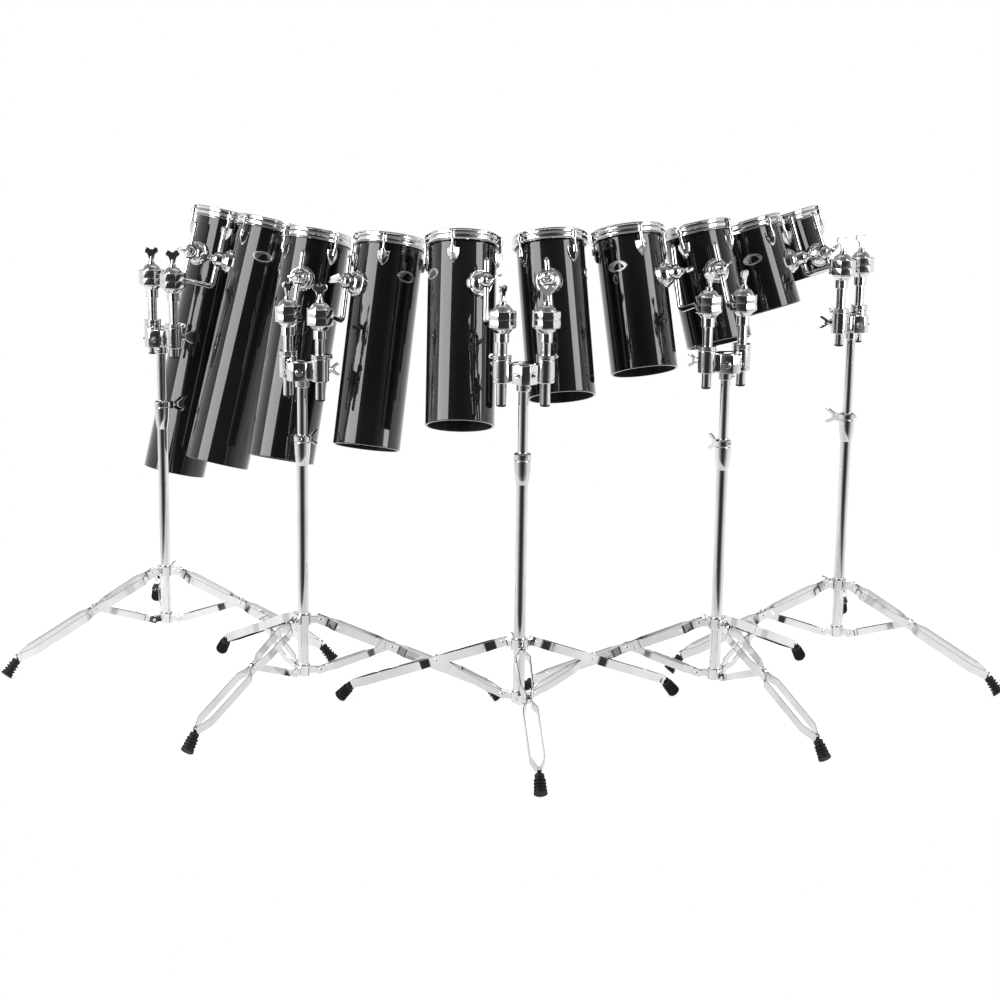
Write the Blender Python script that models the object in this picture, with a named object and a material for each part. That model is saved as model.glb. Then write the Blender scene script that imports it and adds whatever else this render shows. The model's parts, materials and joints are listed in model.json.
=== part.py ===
"""Ten tube drums (octobans) hung in pairs on five double-clamp tripod stands.

Metres, +Z up, the audience's side towards -Y. The set stands on Z = 0 with the middle of its outline
over the origin. Every stand has its own frame: Z is its pole, +X runs along the double clamp and -Y
is its front leg. An arm's frame has the ball at its origin, +Y along the lower rod and +Z along the
upright rod. A drum's frame has the upright rod as its Z axis and the drum's own axis at +Y.
"""

import math
from dataclasses import dataclass

import bmesh
import bpy
from mathutils import Matrix, Vector

CLEARANCE = 0.0003
FUSE = 0.0005

DRUM_SIDES = 16
TUBE_SIDES = 8
POST_SIDES = 8
ROD_SIDES = 8
DISC_SIDES = 10
BOOT_SIDES = 6
SCREW_SIDES = 4

# Drum: a six inch tube with a single head on top
SHELL_RADIUS = 0.0762
SHELL_WALL = 0.006
FILM_THICKNESS = 0.001
HEAD_WALL = 0.0035
HEAD_DEPTH = 0.013
HOOP_ABOVE_EDGE = 0.008
HOOP_BELOW_EDGE = 0.017
HOOP_WALL = 0.0032
HOOP_LIP = 0.0018
LUG_ANGLES = (45.0, 135.0, 225.0, 315.0)
LUG_TOP_BELOW_EDGE = 0.034
LUG_HEIGHT = 0.034
LUG_WIDTH = 0.028
LUG_REACH = 0.0125
LUG_CHEEK = 0.52
LUG_FACE = (0.55, 0.72)
TENSION_ROD_RADIUS = 0.003
TENSION_ROD_OFFSET = 0.0093
EAR_WIDTH = 0.014
EAR_HEIGHT = 0.013
EAR_ABOVE_FOOT = 0.002
EAR_MARGIN = 0.004
EAR_BITE = 0.0015
ROD_BITE = 0.003

# Bracket on the shell and the L-shaped rod through it
ROD_RADIUS = 0.006
ROD_TO_DRUM_AXIS = 0.106
BRACKET_BELOW_EDGE = 0.111
BRACKET_DISC_RADIUS = 0.0295
BRACKET_DISC_OUT = 0.089
BARREL_RADIUS = 0.016
BARREL_OUT = 0.121
BARREL_SINK = 0.002
ARM_REACH = 0.102
ARM_HEIGHT = 0.150
ARM_BEND = 0.018
ROD_TIP = 0.008
BALL_RADIUS = 0.012

# Wing bolts: reach, half span and thickness
BRACKET_WING = (0.029, 0.019, 0.005)
HOUSING_WING = (0.042, 0.015, 0.006)
SOCKET_WING = (0.034, 0.015, 0.005)
HEIGHT_WING = (0.045, 0.018, 0.005)
LEG_WING = (0.026, 0.010, 0.004)
WING_SINK = 0.0035
WING_WAIST = 0.35
WING_TIP = 0.85
WING_NOTCH = 0.6

# Post, ball housing and double clamp
POST_SPREAD = 0.047
POST_BACK = 0.007
POST_RADIUS = 0.0111
POST_BELOW_HOUSING = 0.187
SLEEVE_RADIUS = 0.015
SLEEVE_LENGTH = 0.030
SLEEVE_CHAMFER = 0.003
LOCK_RING_HEIGHT = 0.011
LOCK_RING_RADIUS = 0.020
HOUSING_HALF_HEIGHT = 0.019
HOUSING_RADIUS = 0.030
DOME_RADIUS = 0.0215
DOME_HEIGHT = 0.017
BALL_ABOVE_HOUSING = 0.009
SLOT_INSET = (0.0065, 0.001)
CLAMP_HEIGHT = 0.049
CLAMP_RADIUS = 0.0255
CLAMP_BAR_HALF = 0.011
CLAMP_BAR_INSET = 0.003
CAP_HALF_WIDTH = 0.027
CAP_REACH = 0.040
CAP_BEVEL = 0.009
SOCKET_RADIUS = 0.020
STOP_COLLAR_RADIUS = 0.0155
STOP_COLLAR_HEIGHT = 0.017

# Pole: an upper tube that slides in a lower one
UPPER_TUBE_RADIUS = 0.0111
UPPER_TUBE_FOOT = 0.300
LOWER_TUBE_RADIUS = 0.0127
HEIGHT_CLAMP_FOOT = 0.550
HEIGHT_CLAMP_TAPER = 0.025
HEIGHT_CLAMP_BARREL = 0.045
HEIGHT_CLAMP_NARROW = 0.0138
HEIGHT_CLAMP_WIDE = 0.0190
HEIGHT_BOLT_BELOW_TOP = 0.014

# Legs and braces: pairs of bowed strips, measured out from the pole
PIVOT_RADIUS = 0.0396
LEG_PIVOT_HEIGHT = 0.193
LEG_COLLAR_HEIGHT = 0.027
LEG_COLLAR_BELOW_PIVOT = 0.013
LEG_COLLAR_RADIUS = 0.0185
LEG_BOLT_BELOW_TOP = 0.007
BRACE_PIVOT_HEIGHT = 0.075
BASE_COLLAR_HEIGHT = 0.027
BASE_COLLAR_BELOW_PIVOT = 0.014
BASE_COLLAR_RADIUS = 0.016
LINK_LENGTH = 0.174
LEG_END = (0.409, 0.047)
STRIP_WIDTH = 0.020
STRIP_THICKNESS = 0.002
EAR_HALF_THICKNESS = 0.004
EAR_HALF_HEIGHT = 0.008
EAR_REACH = 0.050
EAR_ROOT = 0.0008

# Bows of a leg: flats at its two pivots, and how far the strips spread between them
LEG_TAIL = 0.011
LEG_FLAT = 0.018
LEG_BOW_START = 0.036
LEG_BOW_END = 0.036
MID_FLAT = 0.016
LOWER_BOW_START = 0.034
UPPER_BOW_WIDE = 0.0170
UPPER_BOW_NARROW = 0.0140
LOWER_BOW = 0.0165
TOE_LENGTH = 0.032
TOE_THROAT = 0.008
TOE_TIP = 0.006
TOE_HALF = 0.0050

# Bows of a brace, whose tongue lies between the leg's strips
BRACE_TAIL = 0.009
BRACE_FLAT = 0.016
BRACE_BOW_START = 0.030
BRACE_BOW_END = 0.062
BRACE_BOW_WIDE = 0.0125
BRACE_BOW_NARROW = 0.0110
BRACE_HALF_WIDTH = 0.008
TONGUE_START = 0.042
TONGUE_THROAT = 0.046
TONGUE_END = 0.010
BOOT_TOP_RADIUS = 0.0095
BOOT_FOOT_RADIUS = 0.014
BOOT_CONTACT = 0.437
BOOT_LENGTH = 0.046
BOOT_SLANT = 47.0
LEG_TURNS = (0.0, 120.0, 240.0)
LEG_BOLT_TURN = 200.0


@dataclass(frozen=True)
class Stand:
    """One tripod stand: its place from the middle pole, which way its base and clamp face, its heights."""

    name: str
    x: float
    y: float
    heading: float
    clamp_turn: float
    clamp_foot: float
    housing: float


@dataclass(frozen=True)
class Drum:
    """One drum with its arm: the post that holds it, the arm's angles and the drum's place on the rod."""

    number: int
    stand: str
    side: int
    length: float
    swing: float
    pitch: float
    roll: float
    swivel: float
    rise: float


STANDS = (
    Stand("far_left", -0.8725, 0.613, -47.5, -1.0, 0.752, 0.914),
    Stand("left", -0.4905, 0.179, -27.8, -8.2, 0.743, 0.885),
    Stand("centre", -0.001, 0.0, 5.5, 0.0, 0.770, 0.905),
    Stand("right", 0.4487, 0.197, 26.1, 3.9, 0.771, 0.922),
    Stand("far_right", 0.7866, 0.577, 49.0, 4.3, 0.816, 0.972),
)

DRUMS = (
    Drum(1, "far_left", -1, 0.655, 5.2, -13.7, 3.3, 8.2, 0.1835),
    Drum(2, "far_left", 1, 0.590, -12.9, -15.9, -3.3, -25.3, 0.179),
    Drum(3, "left", -1, 0.524, 34.8, -13.2, 8.1, -6.8, 0.197),
    Drum(4, "left", 1, 0.472, 10.6, -16.2, -1.3, -26.2, 0.2015),
    Drum(5, "centre", -1, 0.416, 16.4, -18.9, 7.4, 10.1, 0.210),
    Drum(6, "centre", 1, 0.357, -13.3, -18.3, -7.4, -0.4, 0.214),
    Drum(7, "right", -1, 0.318, 4.6, -18.3, 3.5, 27.2, 0.1975),
    Drum(8, "right", 1, 0.268, -16.3, -16.0, -9.4, -0.2, 0.198),
    Drum(9, "far_right", -1, 0.211, -1.5, -19.1, -3.1, 25.6, 0.154),
    Drum(10, "far_right", 1, 0.1565, -14.1, -18.4, -9.0, -7.6, 0.1575),
)


def clear_scene():
    """Remove whatever the scene holds."""
    for item in list(bpy.data.objects):
        bpy.data.objects.remove(item)


def make_material(name, color, metallic, roughness):
    """Return a Principled material."""
    material = bpy.data.materials.new(name)
    material.use_nodes = True
    shader = material.node_tree.nodes["Principled BSDF"]
    shader.inputs["Base Color"].default_value = (*color, 1.0)
    shader.inputs["Metallic"].default_value = metallic
    shader.inputs["Roughness"].default_value = roughness
    return material


def turn_z(degrees):
    """Return a turn about Z."""
    return Matrix.Rotation(math.radians(degrees), 4, "Z")


def ring(radius, height, sides):
    """Return a level polygon about Z, a flat towards -Y, as much outside the circle as inside it."""
    half = math.pi / sides
    corner = radius * 2.0 / (1.0 + math.cos(half))
    angles = (half * (2 * i + 1) - math.pi / 2.0 for i in range(sides))
    return [Vector((corner * math.cos(a), corner * math.sin(a), height)) for a in angles]


def corner_radius(radius, sides):
    """Return how far the corners of such a polygon lie from its middle."""
    return radius * 2.0 / (1.0 + math.cos(math.pi / sides))


def bore_radius(shaft_corner, sides):
    """Return the radius of a bore whose flats clear the corners of a shaft turned any way in it."""
    half = math.pi / sides
    return (shaft_corner + CLEARANCE) * (1.0 + math.cos(half)) / (2.0 * math.cos(half))


def loft(rings, closed=False, place=None):
    """Return a mesh that joins each ring to the next, with capped ends or closed on itself."""
    bm = bmesh.new()
    loops = [[bm.verts.new(point) for point in points] for points in rings]
    follow = loops[1:] + loops[:1] if closed else loops[1:]
    for near, far in zip(loops, follow):
        for i, corner in enumerate(near):
            j = (i + 1) % len(near)
            bm.faces.new((corner, near[j], far[j], far[i]))
    if not closed:
        bm.faces.new(loops[0])
        bm.faces.new(loops[-1])
    if place is not None:
        bm.transform(place)
    bmesh.ops.recalc_face_normals(bm, faces=bm.faces)
    mesh = bpy.data.meshes.new("shape")
    bm.to_mesh(mesh)
    bm.free()
    return mesh


def turned(profile, sides, closed=False, place=None):
    """Return a profile of (radius, height) pairs turned about Z."""
    return loft([ring(radius, height, sides) for radius, height in profile], closed, place)


def prism(outline, low, high, place=None):
    """Return an outline of (x, y) pairs raised along Z from one height to another."""
    return loft([[Vector((x, y, z)) for x, y in outline] for z in (low, high)], False, place)


def box(low, high, place=None):
    """Return a block between two opposite corners."""
    outline = ((low[0], low[1]), (high[0], low[1]), (high[0], high[1]), (low[0], high[1]))
    return prism(outline, low[2], high[2], place)


def combine(base, others, operation="UNION"):
    """Return one mesh joined with others, or cut by them, all in the same frame."""
    carrier = bpy.data.objects.new("carrier", base)
    bpy.context.scene.collection.objects.link(carrier)
    helpers = []
    for mesh in others:
        helper = bpy.data.objects.new("helper", mesh)
        bpy.context.scene.collection.objects.link(helper)
        helpers.append(helper)
        modifier = carrier.modifiers.new("join", "BOOLEAN")
        modifier.operation = operation
        modifier.solver = "EXACT"
        modifier.object = helper
    graph = bpy.context.evaluated_depsgraph_get()
    result = bpy.data.meshes.new_from_object(carrier.evaluated_get(graph))
    for item in [carrier, *helpers]:
        bpy.data.objects.remove(item)
    return result


def moved(mesh, place):
    """Return a copy of a mesh put somewhere else."""
    copy = mesh.copy()
    copy.transform(place)
    return copy


def toward(direction, place=None):
    """Return a frame whose Z axis points along a direction, at an optional place."""
    frame = Vector(direction).to_track_quat("Z", "Y").to_matrix().to_4x4()
    return frame if place is None else Matrix.Translation(place) @ frame


def wing(size, upright=False):
    """Return a wing bolt's blade along Z, its wings spread along X, or along Y if upright."""
    reach, span, thickness = size
    waist = span * WING_WAIST
    tip = reach * WING_TIP
    root = -WING_SINK
    outline = ((-waist, root), (waist, root), (span, tip), (0.0, reach * WING_NOTCH), (-span, tip))
    stand_up = Matrix.Rotation(math.radians(90.0), 4, "X")
    place = turn_z(90.0) @ stand_up if upright else stand_up
    return prism(outline, -thickness / 2.0, thickness / 2.0, place)


def shell_mesh(length):
    """Return a drum's tube with its four lugs and its rod bracket."""
    axis = Matrix.Translation((0.0, ROD_TO_DRUM_AXIS, 0.0))
    edge = BRACKET_BELOW_EDGE
    inner = SHELL_RADIUS - SHELL_WALL
    profile = [(SHELL_RADIUS, edge), (SHELL_RADIUS, edge - length), (inner, edge - length), (inner, edge)]
    tube = turned(profile, DRUM_SIDES, closed=True, place=axis)
    parts = [lug_mesh(axis @ turn_z(angle)) for angle in LUG_ANGLES]
    parts += bracket_meshes()
    body = combine(tube, parts)
    bore = bore_radius(corner_radius(ROD_RADIUS, ROD_SIDES), ROD_SIDES)
    hole = turned([(bore, -BARREL_RADIUS * 2.0), (bore, BARREL_RADIUS * 2.0)], ROD_SIDES)
    return combine(body, [hole], "DIFFERENCE")


def lug_mesh(place):
    """Return a shield-shaped lug at -Y of the drum's axis, bevelled towards its front."""
    top = BRACKET_BELOW_EDGE - LUG_TOP_BELOW_EDGE
    root = SHELL_RADIUS - SHELL_WALL * 0.85
    front = SHELL_RADIUS + LUG_REACH
    rings = []
    face = (LUG_WIDTH * LUG_FACE[0], LUG_HEIGHT * LUG_FACE[1])
    for radius, width, height in ((root, LUG_WIDTH, LUG_HEIGHT), (front, *face)):
        half = width / 2.0
        cheek = -height * LUG_CHEEK
        outline = ((-half, 0.0), (half, 0.0), (half, cheek), (0.0, -height), (-half, cheek))
        rings.append([Vector((x, -radius, top + z)) for x, z in outline])
    return loft(rings, place=place)


def bracket_meshes():
    """Return the disc on the shell, the barrel that the rod passes through and its wing bolt."""
    outward = toward((0.0, -1.0, 0.0), (0.0, ROD_TO_DRUM_AXIS, 0.0))
    root = SHELL_RADIUS - SHELL_WALL * 1.1
    disc_profile = [(BRACKET_DISC_RADIUS, root), (BRACKET_DISC_RADIUS, BRACKET_DISC_OUT)]
    disc = turned(disc_profile, DISC_SIDES, place=outward)
    barrel_profile = [(BARREL_RADIUS, BRACKET_DISC_OUT - BARREL_SINK), (BARREL_RADIUS, BARREL_OUT)]
    barrel = turned(barrel_profile, TUBE_SIDES, place=outward)
    bolt_place = toward((0.0, -1.0, 0.0), (0.0, ROD_TO_DRUM_AXIS - BARREL_OUT, 0.0))
    bolt = wing(BRACKET_WING)
    bolt.transform(bolt_place)
    return [disc, barrel, bolt]


def hoop_mesh():
    """Return the counter hoop with its four ears, key heads and tension rods."""
    axis = Matrix.Translation((0.0, ROD_TO_DRUM_AXIS, 0.0))
    edge = BRACKET_BELOW_EDGE
    inner = SHELL_RADIUS + 2.0 * CLEARANCE + HEAD_WALL
    outer = inner + HOOP_WALL
    seat = edge + 2.0 * CLEARANCE + FILM_THICKNESS
    top = edge + HOOP_ABOVE_EDGE
    foot = edge - HOOP_BELOW_EDGE
    profile = [(outer, foot), (outer, top), (inner - HOOP_LIP, seat), (inner, seat), (inner, foot)]
    band = turned(profile, DRUM_SIDES, closed=True, place=axis)
    rod_radius = SHELL_RADIUS + TENSION_ROD_OFFSET
    ear_foot = foot + EAR_ABOVE_FOOT
    half = EAR_WIDTH / 2.0
    low = (-half, -rod_radius - EAR_MARGIN, ear_foot)
    high = (half, -inner - EAR_BITE, ear_foot + EAR_HEIGHT)
    parts = []
    for angle in LUG_ANGLES:
        place = axis @ turn_z(angle)
        parts.append(box(low, high, place))
        rod_foot = edge - LUG_TOP_BELOW_EDGE + CLEARANCE
        rod_place = place @ Matrix.Translation((0.0, -rod_radius, 0.0))
        profile = [(TENSION_ROD_RADIUS, rod_foot), (TENSION_ROD_RADIUS, ear_foot + ROD_BITE)]
        parts.append(turned(profile, SCREW_SIDES, place=rod_place))
    return combine(band, parts)


def head_mesh():
    """Return the drum head: a film over the bearing edge with its flesh hoop round the shell."""
    axis = Matrix.Translation((0.0, ROD_TO_DRUM_AXIS, 0.0))
    edge = BRACKET_BELOW_EDGE + CLEARANCE
    inner = SHELL_RADIUS + CLEARANCE
    outer = inner + HEAD_WALL
    foot = edge - HEAD_DEPTH
    profile = [(inner, edge), (inner, foot), (outer, foot), (outer, edge + FILM_THICKNESS)]
    return turned(profile, DRUM_SIDES, place=axis)


def arm_mesh():
    """Return the ball and the L-shaped rod that leaves it."""
    latitudes = [math.radians(angle) for angle in (-55.0, 0.0, 55.0)]
    ball = turned([(BALL_RADIUS * math.cos(a), BALL_RADIUS * math.sin(a)) for a in latitudes], ROD_SIDES)
    centre = Vector((0.0, ARM_REACH - ARM_BEND, ARM_BEND))
    stations = [(Vector((0.0, BALL_RADIUS * 0.4, 0.0)), -90.0, ROD_RADIUS)]
    for turn in (-90.0, -45.0, 0.0):
        angle = math.radians(turn)
        outward = Vector((0.0, math.cos(angle), math.sin(angle)))
        stations.append((centre + ARM_BEND * outward, turn, ROD_RADIUS))
    stations.append((Vector((0.0, ARM_REACH, ARM_HEIGHT - ROD_TIP)), 0.0, ROD_RADIUS))
    stations.append((Vector((0.0, ARM_REACH, ARM_HEIGHT)), 0.0, ROD_RADIUS * 0.4))
    rings = []
    for point, turn, radius in stations:
        place = Matrix.Translation(point) @ Matrix.Rotation(math.radians(turn), 4, "X")
        rings.append([place @ corner for corner in ring(radius, 0.0, ROD_SIDES)])
    return combine(loft(rings), [ball])


def post_mesh(stand, swing):
    """Return a post with its lock ring and ball housing, its axis at Z and its heights as on the stand."""
    clamp_top = stand.clamp_foot + CLAMP_HEIGHT + CLEARANCE
    ring_top = clamp_top + LOCK_RING_HEIGHT
    low = stand.housing - HOUSING_HALF_HEIGHT
    high = stand.housing + HOUSING_HALF_HEIGHT
    profile = [
        (POST_RADIUS, stand.housing - POST_BELOW_HOUSING),
        (POST_RADIUS, clamp_top),
        (LOCK_RING_RADIUS, clamp_top),
        (LOCK_RING_RADIUS, ring_top),
        (POST_RADIUS, ring_top),
        (POST_RADIUS, low - SLEEVE_LENGTH),
        (SLEEVE_RADIUS, low - SLEEVE_LENGTH),
        (SLEEVE_RADIUS, low - SLEEVE_CHAMFER),
        (HOUSING_RADIUS, low),
        (HOUSING_RADIUS, high),
        (DOME_RADIUS, high),
        (DOME_RADIUS * 0.36, high + DOME_HEIGHT),
    ]
    body = turned(profile, POST_SIDES)
    bolt = wing(HOUSING_WING)
    bolt.transform(Matrix.Translation((0.0, 0.0, high + DOME_HEIGHT)))
    body = combine(body, [bolt])
    ball_height = stand.housing + BALL_ABOVE_HOUSING
    ball_corner = corner_radius(BALL_RADIUS, ROD_SIDES)
    pocket_half = ball_corner + CLEARANCE
    pocket_radius = bore_radius(ball_corner, POST_SIDES)
    pocket = turned(
        [(pocket_radius, ball_height - pocket_half), (pocket_radius, ball_height + pocket_half)],
        POST_SIDES,
        place=turn_z(swing + 180.0 / POST_SIDES),
    )
    slot_half = corner_radius(ROD_RADIUS, ROD_SIDES) + 2.0 * CLEARANCE
    slot_low = (-slot_half, 0.0, low + SLOT_INSET[0])
    slot_high = (slot_half, HOUSING_RADIUS * 1.3, high - SLOT_INSET[1])
    slot = box(slot_low, slot_high, turn_z(swing))
    return combine(body, [combine(pocket, [slot])], "DIFFERENCE")


def column_mesh(stand, with_sockets):
    """Return the upper tube with its stop collar and double clamp, its sockets bored where posts turn."""
    foot = stand.clamp_foot
    top = foot + CLAMP_HEIGHT
    profile = [
        (UPPER_TUBE_RADIUS, UPPER_TUBE_FOOT),
        (UPPER_TUBE_RADIUS, foot - STOP_COLLAR_HEIGHT),
        (STOP_COLLAR_RADIUS, foot - STOP_COLLAR_HEIGHT),
        (STOP_COLLAR_RADIUS, foot),
        (CLAMP_RADIUS, foot),
        (CLAMP_RADIUS, top),
    ]
    body = turned(profile, TUBE_SIDES, place=turn_z(-stand.clamp_turn))
    bar_low = (-POST_SPREAD, POST_BACK - CLAMP_BAR_HALF, foot + CLAMP_BAR_INSET)
    bar_high = (POST_SPREAD, POST_BACK + CLAMP_BAR_HALF, top - CLAMP_BAR_INSET)
    bevel = CAP_HALF_WIDTH + CAP_BEVEL
    cap = (
        (-CAP_HALF_WIDTH, -CAP_REACH),
        (CAP_HALF_WIDTH, -CAP_REACH),
        (bevel, CAP_BEVEL - CAP_REACH),
        (bevel, POST_BACK - CLAMP_BAR_HALF + FUSE),
        (-bevel, POST_BACK - CLAMP_BAR_HALF + FUSE),
        (-bevel, CAP_BEVEL - CAP_REACH),
    )
    parts = [box(bar_low, bar_high), prism(cap, foot + FUSE, top - CLAMP_BAR_INSET)]
    for side in (-1, 1):
        across = Matrix.Translation((side * POST_SPREAD, POST_BACK, 0.0))
        parts.append(turned([(SOCKET_RADIUS, foot), (SOCKET_RADIUS, top)], TUBE_SIDES, place=across))
        middle = foot + CLAMP_HEIGHT / 2.0
        bolt = wing(SOCKET_WING, upright=True)
        outward = Vector((side, 1.0, 0.0)).normalized()
        seat = Vector((side * POST_SPREAD, POST_BACK, middle)) + outward * SOCKET_RADIUS
        bolt.transform(toward(outward, seat))
        parts.append(bolt)
    body = combine(body, parts)
    if not with_sockets:
        return body
    bores = []
    for side in (-1, 1):
        across = Matrix.Translation((side * POST_SPREAD, POST_BACK, 0.0))
        radius = bore_radius(corner_radius(POST_RADIUS, POST_SIDES), POST_SIDES)
        bores.append(turned([(radius, foot - 0.01), (radius, top + 0.01)], POST_SIDES, place=across))
    return combine(body, bores, "DIFFERENCE")


def lower_tube_mesh(clearance):
    """Return the lower tube with its base collar, three ears and the height clamp."""
    bore = UPPER_TUBE_RADIUS + CLEARANCE
    collar_foot = BRACE_PIVOT_HEIGHT - BASE_COLLAR_BELOW_PIVOT
    collar_top = collar_foot + BASE_COLLAR_HEIGHT
    clamp_neck = HEIGHT_CLAMP_FOOT + HEIGHT_CLAMP_TAPER
    clamp_top = clamp_neck + HEIGHT_CLAMP_BARREL
    profile = [
        (BASE_COLLAR_RADIUS, collar_foot),
        (BASE_COLLAR_RADIUS, collar_top),
        (LOWER_TUBE_RADIUS, collar_top),
        (LOWER_TUBE_RADIUS, HEIGHT_CLAMP_FOOT),
        (HEIGHT_CLAMP_NARROW, HEIGHT_CLAMP_FOOT),
        (HEIGHT_CLAMP_WIDE, clamp_neck),
        (HEIGHT_CLAMP_WIDE, clamp_top),
        (bore, clamp_top),
        (bore, collar_foot),
    ]
    body = turned(profile, TUBE_SIDES, closed=True)
    parts = ear_meshes(BRACE_PIVOT_HEIGHT, clearance)
    bolt = wing(HEIGHT_WING, upright=True)
    bolt_height = clamp_top - HEIGHT_BOLT_BELOW_TOP
    bolt.transform(toward((0.0, 1.0, 0.0), (0.0, HEIGHT_CLAMP_WIDE, bolt_height)))
    return combine(body, [*parts, bolt])


def leg_collar_mesh(clearance):
    """Return the collar that slides on the lower tube and carries the three legs."""
    low = LEG_PIVOT_HEIGHT - LEG_COLLAR_BELOW_PIVOT
    high = low + LEG_COLLAR_HEIGHT
    bore = LOWER_TUBE_RADIUS + clearance
    profile = [(LEG_COLLAR_RADIUS, low), (LEG_COLLAR_RADIUS, high), (bore, high), (bore, low)]
    body = turned(profile, TUBE_SIDES, closed=True)
    bolt = wing(LEG_WING, upright=True)
    outward = turn_z(LEG_BOLT_TURN) @ Vector((0.0, -1.0, 0.0))
    seat = outward * LEG_COLLAR_RADIUS + Vector((0.0, 0.0, high - LEG_BOLT_BELOW_TOP))
    bolt.transform(toward(outward, seat))
    return combine(body, [*ear_meshes(LEG_PIVOT_HEIGHT, clearance), bolt])


def ear_meshes(height, clearance):
    """Return the three ears of a collar; a negative clearance makes them meet the strips."""
    half = EAR_HALF_THICKNESS + CLEARANCE - clearance
    low = (-half, -EAR_REACH, height - EAR_HALF_HEIGHT)
    high = (half, -LOWER_TUBE_RADIUS - EAR_ROOT, height + EAR_HALF_HEIGHT)
    return [box(low, high, turn_z(angle)) for angle in LEG_TURNS]


def fork(widths, throat):
    """Return a fork's outline from (distance, outer half width) pairs: two strips that join at a throat."""
    outer = [(half, distance) for distance, half in widths]
    inner = [(half - STRIP_THICKNESS, distance) for distance, half in widths if distance < throat]
    left_outer = [(-x, y) for x, y in reversed(outer)]
    left_inner = [(-x, y) for x, y in inner]
    return outer + left_outer + left_inner + [(0.0, throat)] + inner[::-1]


def link_frame(pivot, end):
    """Return a frame at a pivot whose Y runs to an end in the leg's plane and whose Z is its upper side."""
    direction = Vector((0.0, -(end[0] - pivot[0]), end[1] - pivot[1])).normalized()
    side = Vector((1.0, 0.0, 0.0))
    upper = side.cross(direction)
    if upper.z < 0.0:
        side.negate()
        upper.negate()
    frame = Matrix.Identity(4)
    for column, axis in enumerate((side, direction, upper)):
        for row in range(3):
            frame[row][column] = axis[row]
    return frame


def leg_mesh():
    """Return a leg with its boot, its hinge at the origin and its foot towards -Y."""
    pinch = EAR_HALF_THICKNESS + CLEARANCE + STRIP_THICKNESS
    pivot = (PIVOT_RADIUS, LEG_PIVOT_HEIGHT)
    length = math.dist(pivot, LEG_END)
    widths = [
        (-LEG_TAIL, pinch),
        (LEG_FLAT, pinch),
        (LEG_BOW_START, UPPER_BOW_WIDE),
        (LINK_LENGTH - LEG_BOW_END, UPPER_BOW_NARROW),
        (LINK_LENGTH - MID_FLAT, pinch),
        (LINK_LENGTH + MID_FLAT, pinch),
        (LINK_LENGTH + LOWER_BOW_START, LOWER_BOW),
        (length - TOE_LENGTH, LOWER_BOW),
        (length + TOE_TIP, TOE_HALF),
    ]
    frame = link_frame(pivot, LEG_END)
    outline = fork(widths, length - TOE_THROAT)
    strip = prism(outline, -STRIP_WIDTH / 2.0, STRIP_WIDTH / 2.0, frame)
    return combine(strip, [boot_mesh()])


def boot_mesh():
    """Return the rubber boot in the leg's frame, standing on the lower edge of its slanted sole."""
    slant = math.radians(BOOT_SLANT)
    down = Vector((0.0, -math.cos(slant), -math.sin(slant)))
    across = Vector((0.0, -math.sin(slant), math.cos(slant)))
    flat = corner_radius(BOOT_FOOT_RADIUS, BOOT_SIDES) * math.cos(math.pi / BOOT_SIDES)
    contact = Vector((0.0, PIVOT_RADIUS - BOOT_CONTACT, -LEG_PIVOT_HEIGHT))
    sole = contact + across * flat
    profile = [
        (BOOT_TOP_RADIUS, 0.0),
        (BOOT_TOP_RADIUS * 1.1, BOOT_LENGTH * 0.5),
        (BOOT_FOOT_RADIUS, BOOT_LENGTH * 0.7),
        (BOOT_FOOT_RADIUS, BOOT_LENGTH),
    ]
    return turned(profile, BOOT_SIDES, place=toward(down, sole - down * BOOT_LENGTH))


def brace_mesh(clearance):
    """Return a brace, its hinge at the origin; its solid tongue lies between the leg's strips."""
    pinch = EAR_HALF_THICKNESS + CLEARANCE + STRIP_THICKNESS
    tongue = EAR_HALF_THICKNESS + CLEARANCE - clearance
    rise = (LEG_PIVOT_HEIGHT - BRACE_PIVOT_HEIGHT) / 2.0
    reach = math.sqrt(LINK_LENGTH ** 2 - rise ** 2)
    pivot = (PIVOT_RADIUS, BRACE_PIVOT_HEIGHT)
    end = (PIVOT_RADIUS + reach, BRACE_PIVOT_HEIGHT + rise)
    widths = [
        (-BRACE_TAIL, pinch),
        (BRACE_FLAT, pinch),
        (BRACE_BOW_START, BRACE_BOW_WIDE),
        (LINK_LENGTH - BRACE_BOW_END, BRACE_BOW_NARROW),
        (LINK_LENGTH - TONGUE_START, tongue),
        (LINK_LENGTH + TONGUE_END, tongue),
    ]
    outline = fork(widths, LINK_LENGTH - TONGUE_THROAT)
    return prism(outline, -BRACE_HALF_WIDTH, BRACE_HALF_WIDTH, link_frame(pivot, end))


def tripod_mesh():
    """Return a whole tripod base whose legs, braces and collars hold together as one body."""
    parts = [leg_collar_mesh(-FUSE)]
    leg = leg_mesh()
    brace = brace_mesh(-FUSE)
    leg_hinge = Matrix.Translation((0.0, -PIVOT_RADIUS, LEG_PIVOT_HEIGHT))
    brace_hinge = Matrix.Translation((0.0, -PIVOT_RADIUS, BRACE_PIVOT_HEIGHT))
    for angle in LEG_TURNS:
        parts.append(moved(leg, turn_z(angle) @ leg_hinge))
        parts.append(moved(brace, turn_z(angle) @ brace_hinge))
    return combine(lower_tube_mesh(-FUSE), parts)


def add_frame(name, parent, place):
    """Return an empty that carries what moves or stands together."""
    empty = bpy.data.objects.new(name, None)
    bpy.context.scene.collection.objects.link(empty)
    empty.parent = parent
    empty.matrix_local = place
    return empty


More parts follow.
